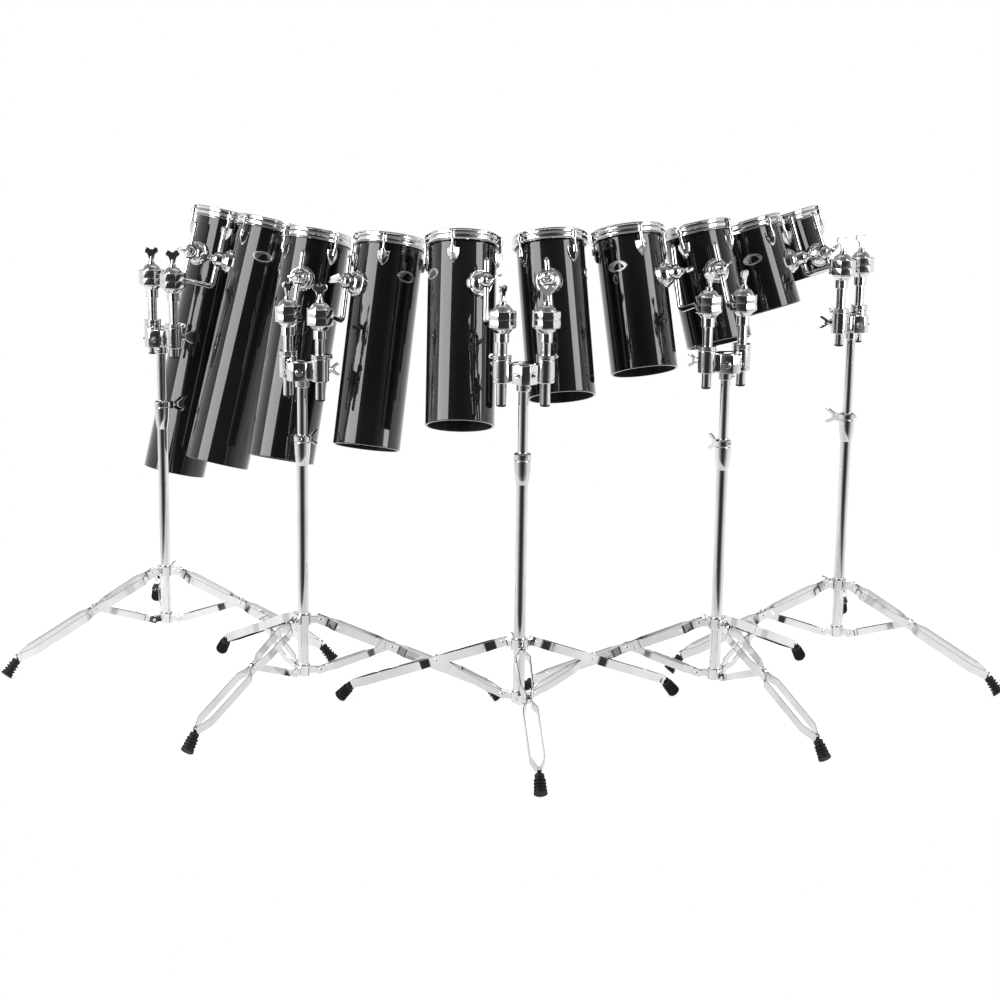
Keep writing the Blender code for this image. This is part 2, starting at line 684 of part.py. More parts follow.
def add_piece(name, mesh, material, parent, place=None):
    """Link a named piece with its material under a parent."""
    mesh.materials.clear()
    mesh.materials.append(material)
    mesh.shade_smooth()
    mesh.set_sharp_from_angle(angle=math.radians(30.0))
    piece = bpy.data.objects.new(name, mesh)
    bpy.context.scene.collection.objects.link(piece)
    piece.parent = parent
    piece.matrix_local = Matrix.Identity(4) if place is None else place
    return piece


def build_centre_base(stand_frame, chrome):
    """Build the middle stand's base from the pieces that fold: collar, legs and braces."""
    add_piece("centre_lower_tube", lower_tube_mesh(CLEARANCE), chrome, stand_frame)
    add_piece("centre_leg_collar", leg_collar_mesh(CLEARANCE), chrome, stand_frame)
    leg = leg_mesh()
    brace = brace_mesh(CLEARANCE)
    for number, angle in enumerate(LEG_TURNS, start=1):
        leg_place = turn_z(angle) @ Matrix.Translation((0.0, -PIVOT_RADIUS, LEG_PIVOT_HEIGHT))
        add_piece(f"centre_leg_{number}", leg, chrome, stand_frame, leg_place)
        brace_place = turn_z(angle) @ Matrix.Translation((0.0, -PIVOT_RADIUS, BRACE_PIVOT_HEIGHT))
        add_piece(f"centre_brace_{number}", brace, chrome, stand_frame, brace_place)


def build_stand(stand, tripod, chrome):
    """Build one stand and return its base frame and the frame of its double clamp."""
    place = Matrix.Translation((stand.x, stand.y, 0.0)) @ turn_z(stand.heading)
    base = add_frame(f"{stand.name}_stand", None, place)
    clamp = add_frame(f"{stand.name}_clamp", base, turn_z(stand.clamp_turn))
    pair = [drum for drum in DRUMS if drum.stand == stand.name]
    if stand.name == "centre":
        build_centre_base(base, chrome)
        add_piece("centre_column", column_mesh(stand, True), chrome, clamp)
        for drum in pair:
            label = "left" if drum.side < 0 else "right"
            across = Matrix.Translation((drum.side * POST_SPREAD, POST_BACK, 0.0))
            add_piece(f"centre_post_{label}", post_mesh(stand, drum.swing), chrome, clamp, across)
        return base, clamp
    add_piece(f"{stand.name}_tripod", tripod, chrome, base)
    posts = []
    for drum in pair:
        across = Matrix.Translation((drum.side * POST_SPREAD, POST_BACK, 0.0))
        posts.append(moved(post_mesh(stand, drum.swing), across))
    add_piece(f"{stand.name}_column", combine(column_mesh(stand, False), posts), chrome, clamp)
    return base, clamp


def build_drum(drum, stand, clamp, finishes, shared):
    """Build one drum with its arm, hung from its post's ball."""
    ball = Matrix.Translation((drum.side * POST_SPREAD, POST_BACK, stand.housing + BALL_ABOVE_HOUSING))
    pitch = Matrix.Rotation(math.radians(drum.pitch), 4, "X")
    roll = Matrix.Rotation(math.radians(drum.roll), 4, "Y")
    label = "left" if drum.side < 0 else "right"
    arm_frame = add_frame(f"{stand.name}_ball_{label}", clamp, ball @ turn_z(drum.swing) @ pitch @ roll)
    add_piece(f"{stand.name}_arm_{label}", shared["arm"], finishes["chrome"], arm_frame)
    height = drum.rise - BRACKET_BELOW_EDGE
    drum_place = Matrix.Translation((0.0, ARM_REACH, height)) @ turn_z(drum.swivel)
    drum_frame = add_frame(f"drum_{drum.number}", arm_frame, drum_place)
    add_piece(f"drum_{drum.number}_shell", shell_mesh(drum.length), finishes["lacquer"], drum_frame)
    add_piece(f"drum_{drum.number}_head", shared["head"], finishes["film"], drum_frame)
    add_piece(f"drum_{drum.number}_hoop", shared["hoop"], finishes["chrome"], drum_frame)


def centre_on_origin(frames):
    """Shift the stands so that the middle of the set's outline lies over the origin."""
    bpy.context.view_layer.update()
    corners = []
    for item in bpy.data.objects:
        if item.type == "MESH":
            corners += [item.matrix_world @ vertex.co for vertex in item.data.vertices]
    for axis in (0, 1):
        values = [corner[axis] for corner in corners]
        middle = (min(values) + max(values)) / 2.0
        for frame in frames:
            frame.location[axis] -= middle
    bpy.context.view_layer.update()


def main():
    """Build the set."""
    clear_scene()
    finishes = {
        "lacquer": make_material("gloss_black", (0.010, 0.010, 0.012), 0.0, 0.08),
        "film": make_material("drum_film", (0.80, 0.80, 0.78), 0.0, 0.35),
        "chrome": make_material("chrome", (0.80, 0.80, 0.81), 1.0, 0.12),
    }
    shared = {"arm": arm_mesh(), "head": head_mesh(), "hoop": hoop_mesh()}
    tripod = tripod_mesh()
    frames = []
    for stand in STANDS:
        base, clamp = build_stand(stand, tripod, finishes["chrome"])
        frames.append(base)
        for drum in DRUMS:
            if drum.stand == stand.name:
                build_drum(drum, stand, clamp, finishes, shared)
    centre_on_origin(frames)


main()
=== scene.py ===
"""Looks of ten tube drums (octobans) hung in pairs on five double-clamp tripod stands.

Metres and +Z up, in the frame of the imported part. A stand's frame has its pole as Z and its front leg
towards -Y; its clamp's frame is turned about the pole, +X along the double clamp. An arm's frame has
the ball at its origin, +Y along the lower rod and +Z along the upright rod. A drum's frame has the
upright rod as Z, the middle of its bracket as origin and the drum's own axis at +Y.
"""

import json
import logging
import math
from dataclasses import dataclass
from enum import Enum
from typing import Callable, Iterable, Sequence

import bmesh
import bpy
from mathutils import Matrix, Vector

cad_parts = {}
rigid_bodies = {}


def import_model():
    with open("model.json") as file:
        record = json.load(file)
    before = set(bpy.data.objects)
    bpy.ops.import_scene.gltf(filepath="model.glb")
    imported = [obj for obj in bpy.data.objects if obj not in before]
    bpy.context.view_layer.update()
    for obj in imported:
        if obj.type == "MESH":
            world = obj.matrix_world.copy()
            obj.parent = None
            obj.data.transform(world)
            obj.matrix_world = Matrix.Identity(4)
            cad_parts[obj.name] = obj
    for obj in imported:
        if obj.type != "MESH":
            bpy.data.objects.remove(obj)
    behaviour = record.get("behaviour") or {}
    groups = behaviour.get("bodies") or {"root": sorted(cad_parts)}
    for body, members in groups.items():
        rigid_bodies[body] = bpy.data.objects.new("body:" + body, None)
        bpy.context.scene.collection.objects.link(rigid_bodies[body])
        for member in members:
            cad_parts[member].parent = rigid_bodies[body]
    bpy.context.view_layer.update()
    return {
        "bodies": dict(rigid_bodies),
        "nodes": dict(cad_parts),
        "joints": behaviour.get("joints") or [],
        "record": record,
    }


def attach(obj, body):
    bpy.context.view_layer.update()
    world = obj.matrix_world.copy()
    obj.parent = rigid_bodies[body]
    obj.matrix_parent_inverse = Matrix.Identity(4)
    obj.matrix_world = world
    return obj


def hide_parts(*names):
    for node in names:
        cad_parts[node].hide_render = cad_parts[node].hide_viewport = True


LOG = logging.getLogger("octobans")

POST_SPREAD = 0.047
POST_BACK = 0.007
SLIM_TUBE = 0.0111
SLIM_BORE = 0.0114
CLAMP_HEIGHT = 0.049
BALL_RADIUS = 0.012
BALL_ABOVE_HOUSING = 0.009
ARM_REACH = 0.102
BRACKET_BELOW_EDGE = 0.111
TENSION_ROD_OUT = 0.0093

Pair = tuple[float, float]
Triple = tuple[float, float, float]
Feeds = dict[str | int, object]


class Slot(Enum):
    """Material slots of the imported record."""

    LACQUER = "gloss_black"
    FILM = "drum_film"
    CHROME = "chrome"


class Side(Enum):
    """The two sides of a double clamp."""

    LEFT = -1
    RIGHT = 1

    @property
    def label(self) -> str:
        """Return the word that node names use."""
        return self.name.lower()


# Places of stands and drums


@dataclass(frozen=True)
class StandPlace:
    """Where one stand is, which way its base and clamp face, and its heights."""

    name: str
    x: float
    y: float
    heading: float
    clamp_turn: float
    clamp_foot: float
    housing: float


@dataclass(frozen=True)
class DrumPlace:
    """One drum with its arm: its post, the arm's angles, its place on the rod, the housing's wing."""

    number: int
    stand: str
    side: Side
    length: float
    swing: float
    pitch: float
    roll: float
    swivel: float
    rise: float
    wing: float


STANDS = (
    StandPlace("far_left", -0.8725, 0.613, -47.5, -1.0, 0.752, 0.914),
    StandPlace("left", -0.4905, 0.179, -27.8, -8.2, 0.743, 0.885),
    StandPlace("centre", -0.001, 0.0, 5.5, 0.0, 0.770, 0.905),
    StandPlace("right", 0.4487, 0.197, 26.1, 3.9, 0.771, 0.922),
    StandPlace("far_right", 0.7866, 0.577, 49.0, 4.3, 0.816, 0.972),
)

DRUMS = (
    DrumPlace(1, "far_left", Side.LEFT, 0.655, 5.2, -13.7, 3.3, 8.2, 0.1835, 58.0),
    DrumPlace(2, "far_left", Side.RIGHT, 0.590, -12.9, -15.9, -3.3, -25.3, 0.179, 63.0),
    DrumPlace(3, "left", Side.LEFT, 0.524, 34.8, -13.2, 8.1, -6.8, 0.197, 91.0),
    DrumPlace(4, "left", Side.RIGHT, 0.472, 10.6, -16.2, -1.3, -26.2, 0.2015, 51.0),
    DrumPlace(5, "centre", Side.LEFT, 0.416, 16.4, -18.9, 7.4, 10.1, 0.210, 60.0),
    DrumPlace(6, "centre", Side.RIGHT, 0.357, -13.3, -18.3, -7.4, -0.4, 0.214, 15.0),
    DrumPlace(7, "right", Side.LEFT, 0.318, 4.6, -18.3, 3.5, 27.2, 0.1975, 15.0),
    DrumPlace(8, "right", Side.RIGHT, 0.268, -16.3, -16.0, -9.4, -0.2, 0.198, 30.0),
    DrumPlace(9, "far_right", Side.LEFT, 0.211, -1.5, -19.1, -3.1, 25.6, 0.154, -33.0),
    DrumPlace(10, "far_right", Side.RIGHT, 0.1565, -14.1, -18.4, -9.0, -7.6, 0.1575, -33.0),
)


def turn(degrees: float, axis: str = "Z") -> Matrix:
    """Return a turn about an axis through the origin."""
    return Matrix.Rotation(math.radians(degrees), 4, axis)


def shift(x: float, y: float, z: float) -> Matrix:
    """Return a move."""
    return Matrix.Translation((x, y, z))


def toward(direction: Sequence[float], place: Sequence[float] = (0.0, 0.0, 0.0)) -> Matrix:
    """Return a frame at a place whose Z axis points along a direction."""
    return Matrix.Translation(place) @ Vector(direction).to_track_quat("Z", "Y").to_matrix().to_4x4()


def arc(middle: Pair, radius: Pair, start: float, end: float, steps: int) -> list[Pair]:
    """Return points along an ellipse's arc.

    Args:
        middle: The ellipse's middle.
        radius: Its two half axes.
        start: The first angle in degrees.
        end: The last angle in degrees.
        steps: How many straight steps the arc has.

    Returns:
        The points from the first angle to the last.
    """
    angles = [math.radians(start + (end - start) * i / steps) for i in range(steps + 1)]
    return [(middle[0] + radius[0] * math.cos(a), middle[1] + radius[1] * math.sin(a)) for a in angles]


def mirrored(half: Sequence[Pair]) -> list[Pair]:
    """Return a closed outline of a right half and its mirror image on the left."""
    return [*half, *[(-x, y) for x, y in reversed(half)]]


class Layout:
    """The frames of stands, posts, arms and drums, found from the middle pole's joint."""

    def __init__(self, joints: Iterable[dict]) -> None:
        """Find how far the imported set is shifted.

        Args:
            joints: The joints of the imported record.
        """
        pole = next(joint["pos_m"] for joint in joints if joint["name"] == "centre_height")
        self.stands = {stand.name: stand for stand in STANDS}
        centre = self.stands["centre"]
        self.pole = Vector((pole[0], pole[1], 0.0))
        self.offset = self.pole - Vector((centre.x, centre.y, 0.0))

    def base(self, stand: StandPlace) -> Matrix:
        """Return the frame of a stand's base."""
        return shift(stand.x + self.offset.x, stand.y + self.offset.y, 0.0) @ turn(stand.heading)

    def clamp(self, stand: StandPlace) -> Matrix:
        """Return the frame of a stand's double clamp."""
        return self.base(stand) @ turn(stand.clamp_turn)

    def post(self, stand: StandPlace, side: Side) -> Matrix:
        """Return the frame of one post, its heights as on the stand."""
        return self.clamp(stand) @ shift(side.value * POST_SPREAD, POST_BACK, 0.0)

    def arm(self, drum: DrumPlace) -> Matrix:
        """Find a drum's arm.

        Args:
            drum: The drum.

        Returns:
            The frame of its arm.
        """
        stand = self.stands[drum.stand]
        ball = shift(0.0, 0.0, stand.housing + BALL_ABOVE_HOUSING)
        lean = turn(drum.pitch, "X") @ turn(drum.roll, "Y")
        return self.post(stand, drum.side) @ ball @ turn(drum.swing) @ lean

    def drum(self, drum: DrumPlace) -> Matrix:
        """Return the frame of a drum."""
        return self.arm(drum) @ shift(0.0, ARM_REACH, drum.rise - BRACKET_BELOW_EDGE) @ turn(drum.swivel)


class Wiring:
    """A node tree whose nodes are added together with what feeds them."""

    def __init__(self, tree: bpy.types.NodeTree) -> None:
        """Hold a tree.

        Args:
            tree: The tree that is wired.
        """
        self.tree = tree

    def node(self, kind: str, feeds: Feeds | None = None, **settings: object) -> bpy.types.Node:
        """Add a node.

        Args:
            kind: The node's type.
            feeds: What feeds its inputs, by their names or numbers: a socket or a constant.
            settings: The node's own options.

        Returns:
            The node.
        """
        node = self.tree.nodes.new(kind)
        for name, value in settings.items():
            setattr(node, name, value)
        for name, source in (feeds or {}).items():
            if isinstance(source, bpy.types.NodeSocket):
                self.tree.links.new(source, node.inputs[name])
            else:
                node.inputs[name].default_value = source
        return node

    def greys(self, value: bpy.types.NodeSocket, stops: Sequence[Pair]) -> bpy.types.NodeSocket:
        """Let a grey follow a value from -1 to 1.

        Args:
            value: The value.
            stops: Pairs of place, from 0 to 1 over the value's range, and grey.

        Returns:
            The socket of the grey.
        """
        span = self.node("ShaderNodeMapRange", {"Value": value, "From Min": -1.0, "From Max": 1.0})
        ramp = self.node("ShaderNodeValToRGB", {"Fac": span.outputs["Result"]})
        elements = ramp.color_ramp.elements
        for element, (place, grey) in zip(elements, (stops[0], stops[-1])):
            element.position = place
            element.color = (grey, grey, grey, 1.0)
        for place, grey in stops[1:-1]:
            elements.new(place).color = (grey, grey, grey, 1.0)
        return ramp.outputs["Color"]


# Finishes


class ShaderSheet(Wiring):
    """A material under construction, with a Principled shader and patterns on Object coordinates."""

    CALM = 0.3
    BUSY = 0.7

    def __init__(self, name: str) -> None:
        """Start a material.

        Args:
            name: The material's name.
        """
        self.material = bpy.data.materials.new(name)
        self.material.use_nodes = True
        super().__init__(self.material.node_tree)
        self.shader = self.tree.nodes["Principled BSDF"]
        self.place = self.node("ShaderNodeTexCoord").outputs["Object"]

    def fix(self, **values: float) -> None:
        """Set constants on the shader's own sockets, words joined by underscores."""
        for name, value in values.items():
            self.shader.inputs[name.replace("_", " ")].default_value = value

    def feed(self, name: str, source: bpy.types.NodeSocket) -> None:
        """Feed one of the shader's inputs."""
        self.tree.links.new(source, self.shader.inputs[name])

    def grain(self, scale: float, stretch: Triple = (1.0, 1.0, 1.0),
              detail: float = 3.0) -> bpy.types.NodeSocket:
        """Add a noise pattern.

        Args:
            scale: Cells per metre.
            stretch: How much faster the pattern changes along each axis.
            detail: Octaves of finer detail.

        Returns:
            The pattern's socket, from 0 to 1.
        """
        mapping = self.node("ShaderNodeMapping", {"Vector": self.place, "Scale": stretch})
        feeds = {"Vector": mapping.outputs["Vector"], "Scale": scale, "Detail": detail}
        return self.node("ShaderNodeTexNoise", feeds).outputs["Fac"]

    def tint(self, pattern: bpy.types.NodeSocket, dark: Triple, light: Triple) -> None:
        """Let the colour follow a pattern.

        Args:
            pattern: The pattern.
            dark: The colour where it is calm.
            light: The colour where it is busy.
        """
        ramp = self.node("ShaderNodeValToRGB", {"Fac": pattern})
        for element, place, colour in zip(ramp.color_ramp.elements, (self.CALM, self.BUSY), (dark, light)):
            element.position = place
            element.color = (*colour, 1.0)
        self.feed("Base Color", ramp.outputs["Color"])

    def sheen(self, pattern: bpy.types.NodeSocket, low: float, high: float) -> None:
        """Let the roughness run between two values with a pattern.

        Args:
            pattern: The pattern.
            low: The roughness where it is calm.
            high: The roughness where it is busy.
        """
        feeds = {"Value": pattern, "From Min": self.CALM, "From Max": self.BUSY}
        span = self.node("ShaderNodeMapRange", {**feeds, "To Min": low, "To Max": high})
        self.feed("Roughness", span.outputs["Result"])

    def relief(self, pattern: bpy.types.NodeSocket, strength: float, depth: float) -> None:
        """Raise the surface a little with a pattern."""
        bump = self.node("ShaderNodeBump", {"Height": pattern, "Strength": strength, "Distance": depth})
        self.feed("Normal", bump.outputs["Normal"])


@dataclass(frozen=True)
class Lacquer:
    """Black piano lacquer on the tubes, with a faint orange peel under its clear coat."""

    dark: Triple = (0.0045, 0.0045, 0.0055)
    light: Triple = (0.0085, 0.0085, 0.0100)
    polish: Pair = (0.05, 0.09)
    coat: float = 1.0
    peel: float = 90.0

    def material(self) -> bpy.types.Material:
        """Mix the finish.

        Returns:
            The lacquer's material.
        """
        sheet = ShaderSheet("gloss_black_lacquer")
        sheet.tint(sheet.grain(5.0), self.dark, self.light)
        sheet.sheen(sheet.grain(11.0), *self.polish)
        sheet.relief(sheet.grain(self.peel, detail=2.0), 0.04, 0.0004)
        sheet.fix(Coat_Weight=self.coat, Coat_Roughness=0.025, Specular_IOR_Level=0.15)
        return sheet.material


@dataclass(frozen=True)
class Chrome:
    """Bright plating with faint polishing streaks along Z and a few dull smudges."""

    dark: Triple = (0.68, 0.69, 0.70)
    light: Triple = (0.84, 0.845, 0.85)
    polish: Pair = (0.05, 0.12)
    streak: float = 60.0

    def material(self) -> bpy.types.Material:
        """Mix the finish.

        Returns:
            The plating's material.
        """
        sheet = ShaderSheet("bright_chrome")
        sheet.tint(sheet.grain(9.0), self.dark, self.light)
        sheet.sheen(sheet.grain(self.streak, (1.0, 1.0, 0.08)), *self.polish)
        sheet.relief(sheet.grain(140.0, detail=1.0), 0.015, 0.0003)
        sheet.fix(Metallic=1.0)
        return sheet.material


@dataclass(frozen=True)
class Film:
    """Coated white drum film: a fine sprayed grit over a slightly cloudy sheet."""

    dark: Triple = (0.83, 0.83, 0.81)
    light: Triple = (0.91, 0.91, 0.89)
    polish: Pair = (0.36, 0.50)
    grit: float = 1400.0

    def material(self) -> bpy.types.Material:
        """Mix the finish.

        Returns:
            The film's material.
        """
        sheet = ShaderSheet("coated_film")
        sheet.tint(sheet.grain(26.0), self.dark, self.light)
        sheet.sheen(sheet.grain(40.0), *self.polish)
        sheet.relief(sheet.grain(self.grit, detail=1.0), 0.25, 0.0002)
        return sheet.material


@dataclass(frozen=True)
class Moulding:
    """A dark moulded surface: rubber, plastic or the bare inside of a tube."""

    name: str
    dark: Triple
    light: Triple
    polish: Pair
    grit: float
    depth: float = 0.0002
    stretch: Triple = (1.0, 1.0, 1.0)

    def material(self) -> bpy.types.Material:
        """Mix the finish.

        Returns:
            The moulding's material.
        """
        sheet = ShaderSheet(self.name)
        grain = sheet.grain(self.grit, self.stretch)
        sheet.tint(sheet.grain(45.0, self.stretch), self.dark, self.light)
        sheet.sheen(grain, *self.polish)
        sheet.relief(grain, 0.35, self.depth)
        sheet.fix(Specular_IOR_Level=0.22)
        return sheet.material


@dataclass(frozen=True)
class BrushedPlate:
    """Brushed nickel of the bare oval plates, its brush lines level round the tube."""

    dark: Triple = (0.36, 0.36, 0.37)
    light: Triple = (0.62, 0.62, 0.63)
    polish: Pair = (0.22, 0.38)

    def material(self) -> bpy.types.Material:
        """Mix the finish.

        Returns:
            The plate's material.
        """
        sheet = ShaderSheet("brushed_plate")
        lines = sheet.grain(900.0, (0.04, 0.04, 1.0))
        sheet.tint(lines, self.dark, self.light)
        sheet.sheen(lines, *self.polish)
        sheet.relief(lines, 0.2, 0.0001)
        sheet.fix(Metallic=1.0)
        return sheet.material


RUBBER = Moulding("boot_rubber", (0.007, 0.007, 0.008), (0.015, 0.015, 0.016), (0.45, 0.65), 700.0)
PLASTIC = Moulding("black_plastic", (0.010, 0.010, 0.011), (0.020, 0.020, 0.021), (0.28, 0.42), 500.0)
LINING = Moulding("tube_lining", (0.010, 0.009, 0.009), (0.026, 0.024, 0.022), (0.40, 0.60), 160.0, 0.0003,
                  (1.0, 1.0, 0.12))


@dataclass(frozen=True)
class Palette:
    """The finishes of the set, made once."""

    lacquer: bpy.types.Material
    chrome: bpy.types.Material
    film: bpy.types.Material
    rubber: bpy.types.Material
    plastic: bpy.types.Material
    lining: bpy.types.Material
    plate: bpy.types.Material

    @classmethod
    def mixed(cls) -> "Palette":
        """Return the palette with every finish made, in the order of its fields."""
        finishes = (Lacquer(), Chrome(), Film(), RUBBER, PLASTIC, LINING, BrushedPlate())
        return cls(*[finish.material() for finish in finishes])


# Shapes


class Shape:
    """A mesh in the frame of the sub-assembly that it belongs to."""

    BALL_SIDES = 32

    def __init__(self, mesh: bpy.types.Mesh) -> None:
        """Hold a mesh.

        Args:
            mesh: The mesh, which the shape owns.
        """
        self.mesh = mesh

    @classmethod
    def loft(cls, rings: Sequence[Sequence[Vector]]) -> "Shape":
        """Join each ring of points to the next and cap both ends.

        Args:
            rings: Rings with the same number of points.

        Returns:
            The shape, its faces outward.
        """
        bm = bmesh.new()
        loops = [[bm.verts.new(point) for point in ring] for ring in rings]
        for near, far in zip(loops, loops[1:]):
            for i, corner in enumerate(near):
                j = (i + 1) % len(near)
                bm.faces.new((corner, near[j], far[j], far[i]))
        bm.faces.new(loops[0])
        bm.faces.new(loops[-1])
        return cls.sealed(bm)

    @classmethod
    def turned(cls, profile: Sequence[Pair], sides: int = 48, closed: bool = False) -> "Shape":
        """Turn a profile about Z.

        Args:
            profile: Pairs of radius and height; a radius of zero closes that end in a point.
            sides: How many steps go round.
            closed: Whether the profile is a closed outline, as a tube's wall is.

        Returns:
            The shape, a flat towards -Y.
        """
        bm = bmesh.new()
        loops: list[list[bmesh.types.BMVert]] = []
        half = math.pi / sides
        spread = 2.0 / (1.0 + math.cos(half))
        angles = [half * (2 * i + 1) - math.pi / 2.0 for i in range(sides)]
        for radius, height in profile:
            if radius <= 0.0:
                loops.append([bm.verts.new((0.0, 0.0, height))])
                continue
            reach = radius * spread
            loops.append([bm.verts.new((reach * math.cos(a), reach * math.sin(a), height)) for a in angles])
        follow = loops[1:] + loops[:1] if closed else loops[1:]
        for near, far in zip(loops, follow):
            for i in range(sides):
                j = (i + 1) % sides
                if len(near) == 1:
                    corners = [near[0], far[j], far[i]]
                elif len(far) == 1:
                    corners = [near[i], near[j], far[0]]
                else:
                    corners = [near[i], near[j], far[j], far[i]]
                bm.faces.new(corners)
        if not closed:
            for loop in (loops[0], loops[-1]):
                if len(loop) > 1:
                    bm.faces.new(loop)
        return cls.sealed(bm)

    @classmethod
    def prism(cls, outline: Sequence[Pair], low: float, high: float) -> "Shape":
        """Raise an outline of (x, y) pairs along Z from one height to another."""
        return cls.loft([[Vector((x, y, z)) for x, y in outline] for z in (low, high)])

    @classmethod
    def block(cls, low: Sequence[float], high: Sequence[float]) -> "Shape":
        """Return a block between two opposite corners."""
        outline = ((low[0], low[1]), (high[0], low[1]), (high[0], high[1]), (low[0], high[1]))
        return cls.prism(outline, low[2], high[2])

    @classmethod
    def ball(cls, radius: float) -> "Shape":
        """Make a ball about the origin.

        Args:
            radius: Its radius.

        Returns:
            The ball.
        """
        steps = cls.BALL_SIDES // 2
        angles = [math.pi * i / steps for i in range(1, steps)]
        profile = [(radius * math.sin(angle), -radius * math.cos(angle)) for angle in angles]
        return cls.turned([(0.0, -radius), *profile, (0.0, radius)], cls.BALL_SIDES)

    @classmethod
    def sealed(cls, bm: bmesh.types.BMesh) -> "Shape":
        """Turn the faces outward and keep the mesh.

        Args:
            bm: The mesh under construction, which is freed.

        Returns:
            The shape.
        """
        bmesh.ops.recalc_face_normals(bm, faces=bm.faces)
        mesh = bpy.data.meshes.new("shape")
        bm.to_mesh(mesh)
        bm.free()
        return cls(mesh)

    @classmethod
    def joined(cls, shapes: Iterable["Shape"]) -> "Shape":
        """Put several shapes into one.

        Args:
            shapes: The shapes.

        Returns:
            One shape that holds them all.
        """
        bm = bmesh.new()
        for shape in shapes:
            bm.from_mesh(shape.mesh)
        mesh = bpy.data.meshes.new("shape")
        bm.to_mesh(mesh)
        bm.free()
        return cls(mesh)

    def placed(self, place: Matrix) -> "Shape":
        """Put a copy somewhere else.

        Args:
            place: Where it goes.

        Returns:
            The copy.
        """
        copy = self.mesh.copy()
        copy.transform(place)
        if place.to_3x3().determinant() < 0.0:
            copy.flip_normals()
        return Shape(copy)

    def bevelled(self, width: float = 0.0006, segments: int = 2) -> "Shape":
        """Round the sharp edges.

        Args:
            width: How far the rounding reaches from an edge.
            segments: How many steps it has.

        Returns:
            The rounded shape.
        """
        carrier = self.carrier()
        rounding = carrier.modifiers.new("rounding", "BEVEL")
        rounding.width = width
        rounding.segments = segments
        rounding.limit_method = "ANGLE"
        rounding.angle_limit = math.radians(30.0)
        return self.taken(carrier, [])

    def cut(self, *cutters: "Shape") -> "Shape":
        """Take other shapes away.

        Args:
            cutters: The shapes that are taken away.

        Returns:
            What is left.
        """
        carrier = self.carrier()
        helpers = [cutter.carrier() for cutter in cutters]
        for helper in helpers:
            boolean = carrier.modifiers.new("cut", "BOOLEAN")
            boolean.operation = "DIFFERENCE"
            boolean.solver = "EXACT"
            boolean.object = helper
        return self.taken(carrier, helpers)

    def carrier(self) -> bpy.types.Object:
        """Give the mesh an object for modifiers to work on.

        Returns:
            A linked object that holds a copy of the mesh.
        """
        carrier = bpy.data.objects.new("carrier", self.mesh.copy())
        bpy.context.scene.collection.objects.link(carrier)
        return carrier

    @staticmethod
    def taken(carrier: bpy.types.Object, helpers: Iterable[bpy.types.Object]) -> "Shape":
        """Take what the modifiers made and clear the scene of their objects.

        Args:
            carrier: The object with the modifiers.
            helpers: The objects that its modifiers use.

        Returns:
            The evaluated shape.
        """
        graph = bpy.context.evaluated_depsgraph_get()
        mesh = bpy.data.meshes.new_from_object(carrier.evaluated_get(graph))
        for item in (carrier, *helpers):
            bpy.data.objects.remove(item)
        return Shape(mesh)


class RuleTree(Wiring):
    """A Geometry Nodes tree with named inputs, run once over a guide to give a plain mesh."""

    def __init__(self, name: str) -> None:
        """Start a tree with a geometry input and output.

        Args:
            name: The tree's name.
        """
        super().__init__(bpy.data.node_groups.new(name, "GeometryNodeTree"))
        self.identifiers: dict[str, str] = {}
        self.tree.interface.new_socket("Guide", in_out="INPUT", socket_type="NodeSocketGeometry")
        self.tree.interface.new_socket("Shape", in_out="OUTPUT", socket_type="NodeSocketGeometry")
        self.entry = self.tree.nodes.new("NodeGroupInput")
        self.exit = self.tree.nodes.new("NodeGroupOutput")

    def size(self, name: str, kind: str = "Float") -> bpy.types.NodeSocket:
        """Add a named input.

        Args:
            name: The input's name.
            kind: The type of its socket.

        Returns:
            The socket that carries it.
        """
        item = self.tree.interface.new_socket(name, in_out="INPUT", socket_type=f"NodeSocket{kind}")
        self.identifiers[name] = item.identifier
        return self.entry.outputs[name]

    def close(self, shape: bpy.types.NodeSocket) -> None:
        """End the tree in real geometry with its material set.

        Args:
            shape: The socket of what the tree makes.
        """
        finish = self.size("Finish", "Material")
        real = self.node("GeometryNodeRealizeInstances", {"Geometry": shape})
        coat = self.node("GeometryNodeSetMaterial", {"Geometry": real.outputs[0], "Material": finish})
        self.tree.links.new(coat.outputs[0], self.exit.inputs["Shape"])

    def run(self, guide: bpy.types.Mesh, finish: bpy.types.Material, **sizes: object) -> Shape:
        """Run the tree over a guide.

        Args:
            guide: The mesh that the tree follows.
            finish: The material for its Set Material node.
            sizes: Values of the named inputs.

        Returns:
            The plain mesh that it makes.
        """
        carrier = bpy.data.objects.new("guide", guide)
        modifier = carrier.modifiers.new(self.tree.name, "NODES")
        modifier.node_group = self.tree
        modifier[self.identifiers["Finish"]] = finish
        for name, value in sizes.items():
            modifier[self.identifiers[name]] = value
        bpy.context.scene.collection.objects.link(carrier)
        graph = bpy.context.evaluated_depsgraph_get()
        mesh = bpy.data.meshes.new_from_object(carrier.evaluated_get(graph))
        carrier.modifiers.remove(modifier)
        bpy.data.objects.remove(carrier)
        return Shape(mesh)


